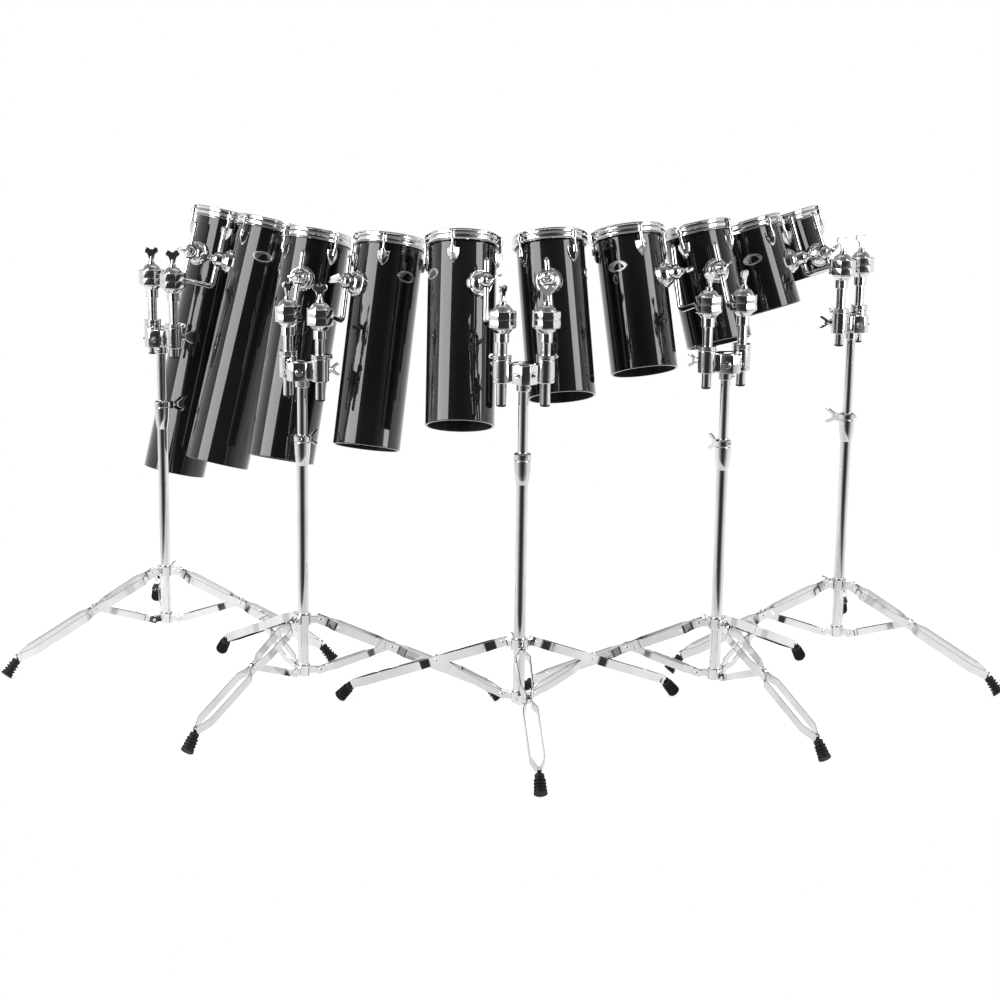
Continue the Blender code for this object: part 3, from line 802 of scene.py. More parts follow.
class BentRod(RuleTree):
    """A round rod along a path of straight runs with rounded bends."""

    BEND_STEPS = 12

    def __init__(self) -> None:
        """Build the tree."""
        super().__init__("bent_rod")
        radius = self.size("Radius")
        bend = self.size("Bend")
        sides = self.size("Sides", "Int")
        path = self.node("GeometryNodeMeshToCurve", {"Mesh": self.entry.outputs["Guide"]})
        feeds = {"Curve": path.outputs[0], "Radius": bend, "Count": self.BEND_STEPS, "Limit Radius": True}
        eased = self.node("GeometryNodeFilletCurve", feeds, mode="POLY")
        circle = self.node("GeometryNodeCurvePrimitiveCircle", {"Radius": radius, "Resolution": sides})
        feeds = {"Curve": eased.outputs[0], "Profile Curve": circle.outputs[0], "Fill Caps": True}
        self.close(self.node("GeometryNodeCurveToMesh", feeds).outputs[0])

    def along(self, points: Sequence[Sequence[float]], radius: float, bend: float,
              finish: bpy.types.Material, sides: int) -> Shape:
        """Run a rod along points.

        Args:
            points: The path's corners.
            radius: The rod's radius.
            bend: The radius of its bends.
            finish: Its material.
            sides: How many steps go round it.

        Returns:
            The rod.
        """
        guide = bpy.data.meshes.new("path")
        runs = [(i, i + 1) for i in range(len(points) - 1)]
        guide.from_pydata([tuple(point) for point in points], runs, [])
        return self.run(guide, finish, Radius=radius, Bend=bend, Sides=sides)


class RolledRing(RuleTree):
    """A closed profile rolled round a circle, as a counter hoop is."""

    def __init__(self) -> None:
        """Build the tree."""
        super().__init__("rolled_ring")
        radius = self.size("Radius")
        steps = self.size("Steps", "Int")
        profile = self.node("GeometryNodeMeshToCurve", {"Mesh": self.entry.outputs["Guide"]})
        circle = self.node("GeometryNodeCurvePrimitiveCircle", {"Radius": radius, "Resolution": steps})
        feeds = {"Curve": circle.outputs[0], "Profile Curve": profile.outputs[0]}
        self.close(self.node("GeometryNodeCurveToMesh", feeds).outputs[0])

    def around(self, outline: Sequence[Pair], radius: float, finish: bpy.types.Material, steps: int) -> Shape:
        """Roll a ring about Z.

        Args:
            outline: The closed profile as pairs of radius and height.
            radius: The radius of the circle that the profile runs along.
            finish: The ring's material.
            steps: How many steps go round.

        Returns:
            The ring, its faces outward.
        """
        guide = bpy.data.meshes.new("profile")
        count = len(outline)
        points = [(reach - radius, -height, 0.0) for reach, height in outline]
        guide.from_pydata(points, [(i, (i + 1) % count) for i in range(count)], [])
        bm = bmesh.new()
        bm.from_mesh(self.run(guide, finish, Radius=radius, Steps=steps).mesh)
        return Shape.sealed(bm)


class Copies(RuleTree):
    """Copies of one small shape at guide points, turned to their own directions."""

    def __init__(self) -> None:
        """Build the tree."""
        super().__init__("copies")
        pattern = self.size("Pattern", "Object")
        source = self.node("GeometryNodeObjectInfo", {"Object": pattern, "As Instance": True})
        along = self.node("GeometryNodeInputNamedAttribute", {"Name": "along"}, data_type="FLOAT_VECTOR")
        facing = self.node("GeometryNodeInputNamedAttribute", {"Name": "facing"}, data_type="FLOAT_VECTOR")
        upright = self.node("FunctionNodeAlignRotationToVector", {"Vector": along.outputs[0]}, axis="Z")
        feeds = {"Rotation": upright.outputs[0], "Vector": facing.outputs[0]}
        turned = self.node("FunctionNodeAlignRotationToVector", feeds, axis="Y", pivot_axis="Z")
        guide = self.entry.outputs["Guide"]
        feeds = {"Points": guide, "Instance": source.outputs["Geometry"], "Rotation": turned.outputs[0]}
        self.close(self.node("GeometryNodeInstanceOnPoints", feeds).outputs[0])

    def at(self, pattern: Shape, places: Sequence[Matrix], finish: bpy.types.Material) -> Shape:
        """Set copies down as one mesh.

        Args:
            pattern: The small shape, about the origin.
            places: The frame of each copy.
            finish: Their material.

        Returns:
            All copies in one shape.
        """
        guide = bpy.data.meshes.new("places")
        guide.from_pydata([tuple(place.translation) for place in places], [], [])
        for name, column in (("along", 2), ("facing", 1)):
            layer = guide.attributes.new(name, "FLOAT_VECTOR", "POINT")
            values = [value for place in places for value in place.to_3x3().col[column]]
            layer.data.foreach_set("vector", values)
        carrier = pattern.carrier()
        made = self.run(guide, finish, Pattern=carrier)
        bpy.data.objects.remove(carrier)
        return made


class RibStack(RuleTree):
    """Round ribs at equal steps along Z that grow from the first to the last."""

    SIDES = 28
    RIM = 0.93

    def __init__(self) -> None:
        """Build the tree."""
        super().__init__("rib_stack")
        count = self.size("Count", "Int")
        step, start, radius, growth, thickness = [
            self.size(name) for name in ("Step", "Start", "Radius", "Growth", "Thickness")]
        first = self.node("ShaderNodeCombineXYZ", {"Z": start})
        offset = self.node("ShaderNodeCombineXYZ", {"Z": step})
        feeds = {"Count": count, "Start Location": first.outputs[0], "Offset": offset.outputs[0]}
        line = self.node("GeometryNodeMeshLine", feeds, mode="OFFSET")
        rim = self.node("ShaderNodeMath", {0: radius, 1: self.RIM}, operation="MULTIPLY").outputs[0]
        feeds = {"Vertices": self.SIDES, "Radius Top": rim, "Radius Bottom": radius, "Depth": thickness}
        rib = self.node("GeometryNodeMeshCone", feeds)
        index = self.node("GeometryNodeInputIndex").outputs[0]
        grown = self.node("ShaderNodeMath", {0: index, 1: growth, 2: 1.0}, operation="MULTIPLY_ADD")
        scale = self.node("ShaderNodeCombineXYZ", {"X": grown.outputs[0], "Y": grown.outputs[0], "Z": 1.0})
        feeds = {"Points": line.outputs[0], "Instance": rib.outputs[0], "Scale": scale.outputs[0]}
        self.close(self.node("GeometryNodeInstanceOnPoints", feeds).outputs[0])

    def rising(self, finish: bpy.types.Material, **sizes: float) -> Shape:
        """Return the ribs, made from named sizes."""
        return self.run(bpy.data.meshes.new("none"), finish, **sizes)


class Form:
    """A piece of the scene that is put together from shapes, each with its own finish."""

    SMOOTH_BELOW = 17.0

    def __init__(self) -> None:
        """Start an empty piece."""
        self.bm = bmesh.new()
        self.finishes: list[bpy.types.Material] = []

    def add(self, shape: Shape, finish: bpy.types.Material, place: Matrix | None = None,
            lining: bpy.types.Material | None = None, inside: Callable[[Vector], bool] | None = None) -> None:
        """Take in a shape.

        Args:
            shape: The shape.
            finish: Its material.
            place: Where it goes, or None where it is.
            lining: A second material.
            inside: Which faces take it, by their middle before they are placed.
        """
        mesh = shape.mesh.copy()
        mesh.materials.clear()
        start, corner = len(self.bm.faces), len(self.bm.verts)
        self.bm.from_mesh(mesh)
        bpy.data.meshes.remove(mesh)
        self.bm.faces.ensure_lookup_table()
        self.bm.verts.ensure_lookup_table()
        first = self.index(finish)
        second = self.index(lining) if lining else first
        for face in self.bm.faces[start:]:
            lined = inside is not None and inside(face.calc_center_median())
            face.material_index = second if lined else first
        if place is not None:
            bmesh.ops.transform(self.bm, matrix=place, verts=self.bm.verts[corner:])

    def add_all(self, shapes: Iterable[Shape], finish: bpy.types.Material,
                place: Matrix | None = None) -> None:
        """Take in several shapes of one finish at one place."""
        for shape in shapes:
            self.add(shape, finish, place)

    def index(self, finish: bpy.types.Material) -> int:
        """Number a finish in the piece.

        Args:
            finish: The finish, which is added if it is new.

        Returns:
            Its number.
        """
        if finish not in self.finishes:
            self.finishes.append(finish)
        return self.finishes.index(finish)

    def mesh(self) -> bpy.types.Mesh:
        """Make the whole one mesh.

        Returns:
            The mesh with its finishes.
        """
        mesh = bpy.data.meshes.new("form")
        self.bm.to_mesh(mesh)
        for finish in self.finishes:
            mesh.materials.append(finish)
        mesh.shade_smooth()
        mesh.set_sharp_from_angle(angle=math.radians(self.SMOOTH_BELOW))
        return mesh


class Bench:
    """Where pieces are set down: names them, puts them in place and hands them to their bodies."""

    def __init__(self) -> None:
        """Start with nothing set down."""
        self.count = 0
        self.triangles = 0

    def set_down(self, name: str, mesh: bpy.types.Mesh, place: Matrix, body: str,
                 nodes: Sequence[str] = (), slot: Slot | None = None) -> None:
        """Make a piece of a mesh.

        Args:
            name: The piece's name.
            mesh: Its mesh, which is copied.
            place: Where the copy goes.
            body: The body that it rides on.
            nodes: The solids that it stands for.
            slot: Not used.
        """
        copy = mesh.copy()
        copy.transform(place)
        copy.name = name
        piece = bpy.data.objects.new(name, copy)
        bpy.context.scene.collection.objects.link(piece)
        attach(piece, body)
        if nodes:
            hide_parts(*nodes)
        copy.calc_loop_triangles()
        self.count += 1
        self.triangles += len(copy.loop_triangles)
        LOG.info("%s on %s: %d triangles", name, body, len(copy.loop_triangles))


@dataclass(frozen=True)
class Kit:
    """What every sub-assembly builds with: finishes and rule trees."""

    palette: Palette
    rod: BentRod
    ring: RolledRing
    copies: Copies
    ribs: RibStack


# Small parts


class WingShape(Enum):
    """How a wing bolt's blade is cut: its right half from foot to middle, as shares of span and reach."""

    POINTED = ((0.30, 0.06), (0.62, 0.24), (0.86, 0.46), (1.00, 0.66), (0.97, 0.76), (0.70, 0.82),
               (0.40, 0.90), (0.20, 1.00))
    BUTTERFLY = ((0.30, 0.18), (0.62, 0.44), (0.86, 0.62), (0.99, 0.76), (0.99, 0.90), (0.88, 1.00),
                 (0.70, 0.98), (0.52, 0.80), (0.22, 0.56))
    GOBLET = ((0.33, 0.12), (0.40, 0.30), (0.54, 0.50), (0.66, 0.60), (0.90, 0.63), (1.00, 0.70),
              (1.00, 0.86), (0.90, 0.96), (0.62, 1.00), (0.34, 0.98), (0.16, 0.88))


@dataclass(frozen=True)
class WingBolt:
    """A wing bolt along Z: a hub with a blade along X."""

    reach: float
    span: float
    thickness: float
    shape: WingShape
    hub: float
    sink: float = 0.003

    def shapes(self) -> list[Shape]:
        """Cut the bolt.

        Returns:
            The blade and the hub.
        """
        edge = self.thickness / 2.0
        half = [(0.28 * self.span, -self.sink)]
        half += [(across * self.span, up * self.reach) for across, up in self.shape.value]
        blade = Shape.prism(mirrored(half), -edge, edge).bevelled(self.thickness * 0.28)
        top = self.reach * 0.42
        hub = self.hub
        profile = [(hub, -self.sink), (hub, 0.0016), (hub * 0.86, 0.0030), (hub * 0.62, 0.0036),
                   (hub * 0.56, top * 0.8), (hub * 0.40, top), (0.0, top)]
        return [blade.placed(turn(90.0, "X")), Shape.turned(profile, 28)]


@dataclass(frozen=True)
class KeyScrew:
    """A square key head with its washer, along Z from a flat seat."""

    size: float
    height: float
    washer: float

    def shapes(self) -> list[Shape]:
        """Cut the screw.

        Returns:
            The washer with the head's collar, and the square.
        """
        half = self.size / 2.0
        square = Shape.block((-half, -half, 0.0008), (half, half, self.height)).bevelled(0.0006)
        profile = [(self.washer, -0.0008), (self.washer, 0.0010), (self.washer * 0.8, 0.0018), (0.0, 0.0018)]
        return [Shape.turned(profile, 24), square]


# Drums


@dataclass
class DrumTube:
    """A six inch tube with lugs, rod bracket and a bare oval plate."""

    kit: Kit
    radius: float = 0.0762
    wall: float = 0.006
    edge: float = BRACKET_BELOW_EDGE
    axis_offset: float = 0.106
    sides: int = 112
    lug_angles: tuple[float, ...] = (45.0, 135.0, 225.0, 315.0)
    lug_top_below_edge: float = 0.034
    lug_height: float = 0.034
    lug_width: float = 0.028
    lug_reach: float = 0.0125
    rod_bore: float = 0.0066
    wing_turn: float = 22.0
    plate_below_edge: float = 0.085
    plate_pin_out: float = 0.0180

    def axis(self) -> Matrix:
        """Return the drum's own axis in its frame."""
        return shift(0.0, self.axis_offset, 0.0)

    def tube(self, length: float) -> bpy.types.Mesh:
        """Make the lacquered tube, bare inside.

        Args:
            length: From the bearing edge to the foot.

        Returns:
            The tube's mesh.
        """
        top, low = self.edge, self.edge - length
        outer, inner = self.radius, self.radius - self.wall
        profile = [(outer, low + 0.0015), (outer, top - 0.0035), (outer - 0.0012, top - 0.0008),
                   (outer - 0.0022, top), (outer - 0.0032, top), (inner, top - 0.0028), (inner, low + 0.001),
                   (inner + 0.001, low), (outer - 0.0015, low), (outer - 0.0004, low + 0.0005)]
        form = Form()
        bare = outer - self.wall * 0.55
        form.add(Shape.turned(profile, self.sides, closed=True), self.kit.palette.lacquer, self.axis(),
                 self.kit.palette.lining, lambda middle: math.hypot(middle.x, middle.y) < bare)
        return form.mesh()

    def shield(self, share: float) -> list[Pair]:
        """Draw a shield, flat on top and drawn in to a point below.

        Args:
            share: Its size as a share of the whole lug.

        Returns:
            The outline.
        """
        half, tall = self.lug_width / 2.0 * share, self.lug_height * share
        top = -(self.lug_height - tall) * 0.35
        shares = ((1.0, 0.0), (1.0, 0.26), (0.95, 0.40), (0.84, 0.55), (0.65, 0.71), (0.38, 0.87),
                  (0.12, 0.98))
        return mirrored([(half * across, top - tall * down) for across, down in shares])

    def lug(self) -> Shape:
        """Shape a lug about the drum's axis.

        Returns:
            The lug, its keel towards -Y and its top at height zero.
        """
        stations = ((1.0, -0.0040), (1.0, 0.0014), (0.96, 0.0024), (0.91, 0.0024), (0.88, 0.0030))
        rings = [[Vector((x, -self.radius - out, z)) for x, z in self.shield(share)]
                 for share, out in stations]
        keel = []
        for x, z in self.shield(0.88):
            drop = max(0.0, -z / self.lug_height - 0.30)
            reach = self.lug_reach * (1.0 - 0.85 * drop ** 1.2)
            keel.append(Vector((x * 0.07, -self.radius - reach, z * 0.96 - 0.0006)))
        profile = [(0.0052, -0.013), (0.0052, 0.0014), (0.0044, 0.0024), (0.0, 0.0024)]
        socket = Shape.turned(profile, 24).placed(shift(0.0, -self.radius - TENSION_ROD_OUT, 0.0))
        return Shape.joined([Shape.loft([*rings, keel]), socket])

    def lugs(self) -> Shape:
        """Copy the lug round the tube.

        Returns:
            The four lugs.
        """
        height = self.edge - self.lug_top_below_edge
        places = [self.axis() @ turn(angle) @ shift(0.0, 0.0, height) for angle in self.lug_angles]
        return self.kit.copies.at(self.lug(), places, self.kit.palette.chrome)

    def bracket(self) -> list[Shape]:
        """Make the bracket that holds the drum on its rod.

        Returns:
            The disc, the knob that the rod passes through, and the wing bolt's two shapes.
        """
        outward = toward((0.0, -1.0, 0.0), (0.0, self.axis_offset, 0.0))
        disc = [(0.0295, self.radius - 0.005), (0.0295, 0.0808), (0.0288, 0.0824), (0.0276, 0.0829),
                (0.0268, 0.0822), (0.0262, 0.0828), *arc((0.0, 0.0828), (0.0258, 0.0165), 4.0, 62.0, 8)]
        knob_end = 0.1209
        knob = [(0.0135, 0.0950), (0.0158, 0.0985), *arc((0.0, 0.1070), (0.0165, 0.0139), 0.0, 78.0, 7),
                (0.0, knob_end)]
        bore = Shape.turned([(self.rod_bore, -0.04), (self.rod_bore, 0.04)], 28)
        shapes = [Shape.turned(disc, 56).placed(outward), Shape.turned(knob, 48).placed(outward).cut(bore)]
        bolt = WingBolt(0.029, 0.0200, 0.0058, WingShape.POINTED, hub=0.0085, sink=0.004)
        place = (0.0, self.axis_offset - knob_end + 0.0004, 0.0)
        seat = toward((0.0, -1.0, 0.0), place) @ turn(self.wing_turn)
        return shapes + [shape.placed(seat) for shape in bolt.shapes()]

    def fittings(self) -> bpy.types.Mesh:
        """Gather everything that is screwed to the tube.

        Returns:
            One mesh of lugs, bracket and the bracket's two bushes.
        """
        chrome = self.kit.palette.chrome
        form = Form()
        form.add(self.lugs(), chrome)
        form.add_all(self.bracket(), chrome)
        profile = [(0.0072, -0.0172), (0.0079, -0.0166), (0.0079, -0.0150), (self.rod_bore, -0.0146),
                   (self.rod_bore, -0.0172)]
        for flip in (1.0, -1.0):
            bush = Shape.turned([(radius, height * flip) for radius, height in profile], 28, closed=True)
            form.add(bush, self.kit.palette.plastic)
        return form.mesh()

    def plate(self, side: Side) -> bpy.types.Mesh:
        """Make the bare oval plate with its raised rim and two pins.

        Args:
            side: Which side of the tube it is on, seen from the bracket.

        Returns:
            The plate's mesh.
        """
        rings = []
        for half, tall, out in ((0.0235, 0.0125, -0.0004), (0.0235, 0.0125, 0.0008), (0.0228, 0.0119, 0.0013),
                                (0.0216, 0.0108, 0.0013), (0.0211, 0.0103, 0.0008)):
            reach = self.radius + out
            flat = [(x / self.radius, z) for x, z in arc((0.0, 0.0), (half, tall), 0.0, 345.0, 23)]
            rings.append([Vector((reach * math.sin(a), -reach * math.cos(a), z)) for a, z in flat])
        form = Form()
        place = self.axis() @ turn(90.0 * side.value) @ shift(0.0, 0.0, self.edge - self.plate_below_edge)
        form.add(Shape.loft(rings), self.kit.palette.plate, place)
        pin = Shape.turned([(0.0012, -0.001), (0.0012, 0.0010), (0.0007, 0.0015), (0.0, 0.0015)], 16)
        outward = toward((0.0, -1.0, 0.0), (0.0, -self.radius, 0.0))
        for across in (-1.0, 1.0):
            spot = turn(math.degrees(across * self.plate_pin_out / self.radius))
            form.add(pin, self.kit.palette.chrome, place @ spot @ outward)
        return form.mesh()


@dataclass
class DrumHead:
    """A coated film stretched over the bearing edge, with its flesh hoop round the tube."""

    kit: Kit
    tube: DrumTube
    gap: float = 0.0003
    wall: float = 0.0035
    depth: float = 0.013

    def mesh(self) -> bpy.types.Mesh:
        """Make the head.

        Returns:
            The head's mesh.
        """
        edge = self.tube.edge + self.gap
        inner = self.tube.radius + self.gap
        outer = inner + self.wall
        foot = edge - self.depth
        profile = [(0.0, edge + 0.0010), (inner - 0.0060, edge + 0.0010), (inner - 0.0012, edge + 0.0009),
                   (inner + 0.0002, edge + 0.0003), (inner + 0.0009, edge - 0.0010),
                   (inner + 0.0012, foot + 0.0055), (outer - 0.0006, foot + 0.0050), (outer, foot + 0.0042),
                   (outer, foot + 0.0006), (outer - 0.0006, foot), (inner + 0.0002, foot),
                   (inner, foot + 0.0006), (inner, edge - 0.0008), (inner - 0.0010, edge), (0.0, edge)]
        form = Form()
        form.add(Shape.turned(profile, 96), self.kit.palette.film, self.tube.axis())
        return form.mesh()


@dataclass
class CounterHoop:
    """A triple-flanged counter hoop with ears, tension rods and square key heads."""

    kit: Kit
    tube: DrumTube
    above: float = 0.008
    below: float = 0.017
    inner: float = 0.0803
    outer: float = 0.0832
    ear_width: float = 0.014
    ear_end: float = 0.0062
    rod_radius: float = 0.003

    def reach(self) -> float:
        """Return how far the tension rods are from the drum's axis."""
        return self.tube.radius + TENSION_ROD_OUT

    def profile(self) -> list[Pair]:
        """Draw the hoop's section.

        Returns:
            The section: rolled top, ridge half way down and turned-out foot.
        """
        edge = self.tube.edge
        top, foot = edge + self.above, edge - self.below
        roll = arc((self.outer - 0.0008, top - 0.0022), (0.0023, 0.0022), 165.0, -45.0, 9)
        upper = arc((self.outer + 0.0012, edge + 0.0008), (0.0022, 0.0036), 140.0, 222.0, 5)
        ridge = arc((self.outer - 0.0002, edge - 0.0050), (0.0016, 0.0018), 75.0, -75.0, 6)
        lower = arc((self.outer + 0.0012, edge - 0.0104), (0.0022, 0.0040), 142.0, 215.0, 5)
        inner, outer = self.inner, self.outer
        return [(inner, foot + 0.0010), (inner, edge + 0.0016), (inner - 0.0016, edge + 0.0020),
                *roll, *upper, *ridge, *lower, (outer + 0.0006, foot + 0.0022),
                (outer + 0.0028, foot + 0.0013), (outer + 0.0030, foot + 0.0004), (outer + 0.0024, foot),
                (inner + 0.0006, foot)]

    def ear(self) -> Shape:
        """Shape one ear about the drum's axis.

        Returns:
            A tab with a rounded end that the rod passes, and its thicker neck.
        """
        half = self.ear_width / 2.0
        root = -self.inner - 0.0010
        end = arc((0.0, -self.reach()), (self.ear_end, self.ear_end), 0.0, -180.0, 12)
        tab = [(half, root), *end, (-half, root)]
        foot = self.tube.edge - self.below + 0.002
        plate = Shape.prism(tab, foot, foot + 0.0036).bevelled(0.0008)
        neck = Shape.prism([(x * 0.86, y) for x, y in tab], foot + 0.0030, foot + 0.0125).bevelled(0.0010)
        return Shape.joined([plate, neck])

    def mesh(self) -> bpy.types.Mesh:
        """Make the hoop with its hardware.

        Returns:
            The hoop's mesh.
        """
        chrome = self.kit.palette.chrome
        edge, axis = self.tube.edge, self.tube.axis()
        form = Form()
        form.add(self.kit.ring.around(self.profile(), self.outer, chrome, self.tube.sides), chrome, axis)
        turns = [axis @ turn(angle) for angle in self.tube.lug_angles]
        form.add(self.kit.copies.at(self.ear(), turns, chrome), chrome)
        head = Shape.joined(KeyScrew(0.0056, 0.0075, 0.0050).shapes())
        seats = [place @ shift(0.0, -self.reach(), edge - 0.0025) for place in turns]
        form.add(self.kit.copies.at(head, seats, chrome), chrome)
        ends = (edge - self.tube.lug_top_below_edge + 0.0024, edge - self.below + 0.004)
        for place in turns:
            points = [place @ Vector((0.0, -self.reach(), z)) for z in ends]
            form.add(self.kit.rod.along(points, self.rod_radius, 0.001, chrome, 16), chrome)
        return form.mesh()


# Arms and posts


@dataclass
class RodArm:
    """The L-shaped rod with the ball that its post grips."""

    kit: Kit
    reach: float = ARM_REACH
    height: float = 0.150
    bend: float = 0.012
    radius: float = 0.006
    tip: float = 0.008
    ball: float = BALL_RADIUS

    def mesh(self) -> bpy.types.Mesh:
        """Make the arm.

        Returns:
            The arm's mesh.
        """
        chrome = self.kit.palette.chrome
        top = self.height - self.tip
        points = [(0.0, self.ball * 0.4, 0.0), (0.0, self.reach, 0.0), (0.0, self.reach, top)]
        radius = self.radius
        cone = [(radius, top - 0.001), (radius, top), (radius * 0.82, top + self.tip * 0.4),
                (radius * 0.42, top + self.tip * 0.92), (radius * 0.2, self.height), (0.0, self.height)]
        form = Form()
        form.add(self.kit.rod.along(points, radius, self.bend, chrome, 28), chrome)
        form.add(Shape.turned(cone, 28), chrome, shift(0.0, self.reach, 0.0))
        form.add(Shape.ball(self.ball), chrome)
        collar = [(radius - 0.0002, 0.0), (0.0078, 0.0006), (0.0078, 0.0042), (radius - 0.0002, 0.0050)]
        form.add(Shape.turned(collar, 28), chrome, toward((0.0, 1.0, 0.0), (0.0, self.ball * 0.86, 0.0)))
        return form.mesh()


@dataclass
class BallPost:
    """A post with its lock ring and sleeve, the eight-sided ball housing and the wing bolt on top."""

    kit: Kit
    radius: float = SLIM_TUBE
    below_housing: float = 0.187
    sleeve_radius: float = 0.015
    sleeve_length: float = 0.030
    lock_radius: float = 0.0205
    lock_height: float = 0.011
    lock_turn: float = 50.0
    boss_half: float = 0.0065
    half_height: float = 0.019
    housing_radius: float = 0.030
    housing_seam: float = 0.0005
    slot_half: float = 0.0072
    dome_radius: float = 0.0215
    dome_height: float = 0.017

    def housing(self, middle: float, swing: float) -> list[Shape]:
        """Make the two halves of the housing and its core, open towards the arm.

        Args:
            middle: The height of the housing's middle.
            swing: Which way the arm leaves it, in degrees.

        Returns:
            The three shapes.
        """
        low, high = middle - self.half_height, middle + self.half_height
        radius, seam = self.housing_radius, self.housing_seam
        narrow = radius - 0.0018
        lower = [(narrow - 0.0035, low), (radius, low + 0.0026), (radius, middle - seam)]
        upper = [(radius, middle + seam), (radius, high - 0.0012), (narrow, high)]
        core = [(narrow, low + 0.004), (narrow, high - 0.003)]
        pocket = Shape.ball(BALL_RADIUS + 0.0006).placed(shift(0.0, 0.0, middle + BALL_ABOVE_HOUSING))
        slot = Shape.block((-self.slot_half, 0.0, low + 0.0065), (self.slot_half, radius * 1.4, high - 0.001))
        slot = slot.placed(turn(swing))
        halves = [Shape.turned(profile, 8).bevelled(0.0007) for profile in (lower, upper)]
        return [shape.cut(pocket, slot) for shape in (*halves, Shape.turned(core, 8))]

    def dome(self, foot: float) -> Shape:
        """Turn the dome between the housing and its wing bolt.

        Args:
            foot: The height of the housing's top.

        Returns:
            The dome.
        """
        radius, rise = self.dome_radius, self.dome_height
        shares = ((0.95, 0.19), (0.85, 0.38), (0.71, 0.56), (0.54, 0.71), (0.38, 0.80), (0.38, 1.0),
                  (0.26, 1.0), (0.0, 1.0))
        profile = [(radius + 0.0025, foot - 0.002), (radius + 0.0025, foot + 0.0006), (radius, foot + 0.0012),
                   *[(radius * out, foot + rise * up) for out, up in shares]]
        return Shape.turned(profile, 48)

    def mesh(self, stand: StandPlace, drum: DrumPlace) -> bpy.types.Mesh:
        """Make one post.

        Args:
            stand: The stand that carries it.
            drum: The drum that it holds.

        Returns:
            The post's mesh in its own frame.
        """
        chrome = self.kit.palette.chrome
        low = stand.housing - self.half_height
        high = stand.housing + self.half_height
        foot = stand.housing - self.below_housing
        form = Form()
        tube = [(self.radius - 0.0010, foot + 0.004), (self.radius, foot + 0.005), (self.radius, low - 0.002)]
        form.add(Shape.turned(tube, 48), chrome)
        plug = [(0.0, foot), *arc((self.radius - 0.0042, foot + 0.0034), (0.0040, 0.0034), -85.0, 0.0, 4),
                (self.radius - 0.0002, foot + 0.0048)]
        form.add(Shape.turned(plug, 40), self.kit.palette.plastic)
        start, wide = low - self.sleeve_length, self.sleeve_radius
        sleeve = [(self.radius, start), (wide - 0.0007, start), (wide, start + 0.0008), (wide, low - 0.0100),
                  (wide + 0.0022, low - 0.0082), (wide + 0.0080, low - 0.0010), (wide + 0.0085, low + 0.0010),
                  (0.010, low + 0.002)]
        form.add(Shape.turned(sleeve, 48), chrome)
        form.add_all(self.housing(stand.housing, drum.swing), chrome)
        form.add(self.dome(high), chrome)
        bolt = WingBolt(0.036, 0.0165, 0.0062, WingShape.GOBLET, hub=0.0078, sink=0.004)
        form.add_all(bolt.shapes(), chrome, shift(0.0, 0.0, high + self.dome_height) @ turn(drum.wing))
        self.add_lock_ring(form, stand.clamp_foot + CLAMP_HEIGHT, drum.side)
        return form.mesh()

    def add_lock_ring(self, form: Form, clamp_top: float, side: Side) -> None:
        """Add the memory lock: a grooved ring on the clamp, its screw boss to the outer back.

        Args:
            form: The post.
            clamp_top: The height of the clamp's top.
            side: Which side of the clamp the post is on.
        """
        chrome = self.kit.palette.chrome
        low, high = clamp_top + 0.0004, clamp_top + self.lock_height
        bore, ring = self.radius - 0.0005, self.lock_radius
        profile = [(bore, low), (ring - 0.0008, low), (ring, low + 0.0010), (ring, low + 0.0042),
                   (ring - 0.0008, low + 0.0047), (ring - 0.0008, low + 0.0060), (ring, low + 0.0065),
                   (ring, high - 0.0012), (ring - 0.0010, high), (bore, high)]
        form.add(Shape.turned(profile, 48), chrome)
        outward = turn(-self.lock_turn * side.value)
        half = self.boss_half
        boss = Shape.block((-half, ring - 0.005, low), (half, ring + 0.007, high))
        form.add(boss.bevelled(0.0012), chrome, outward)
        seat = toward((side.value, 0.0, 0.0), (side.value * half, ring + 0.0025, (low + high) / 2.0))
        form.add_all(KeyScrew(0.0050, 0.0065, 0.0042).shapes(), chrome, outward @ seat)


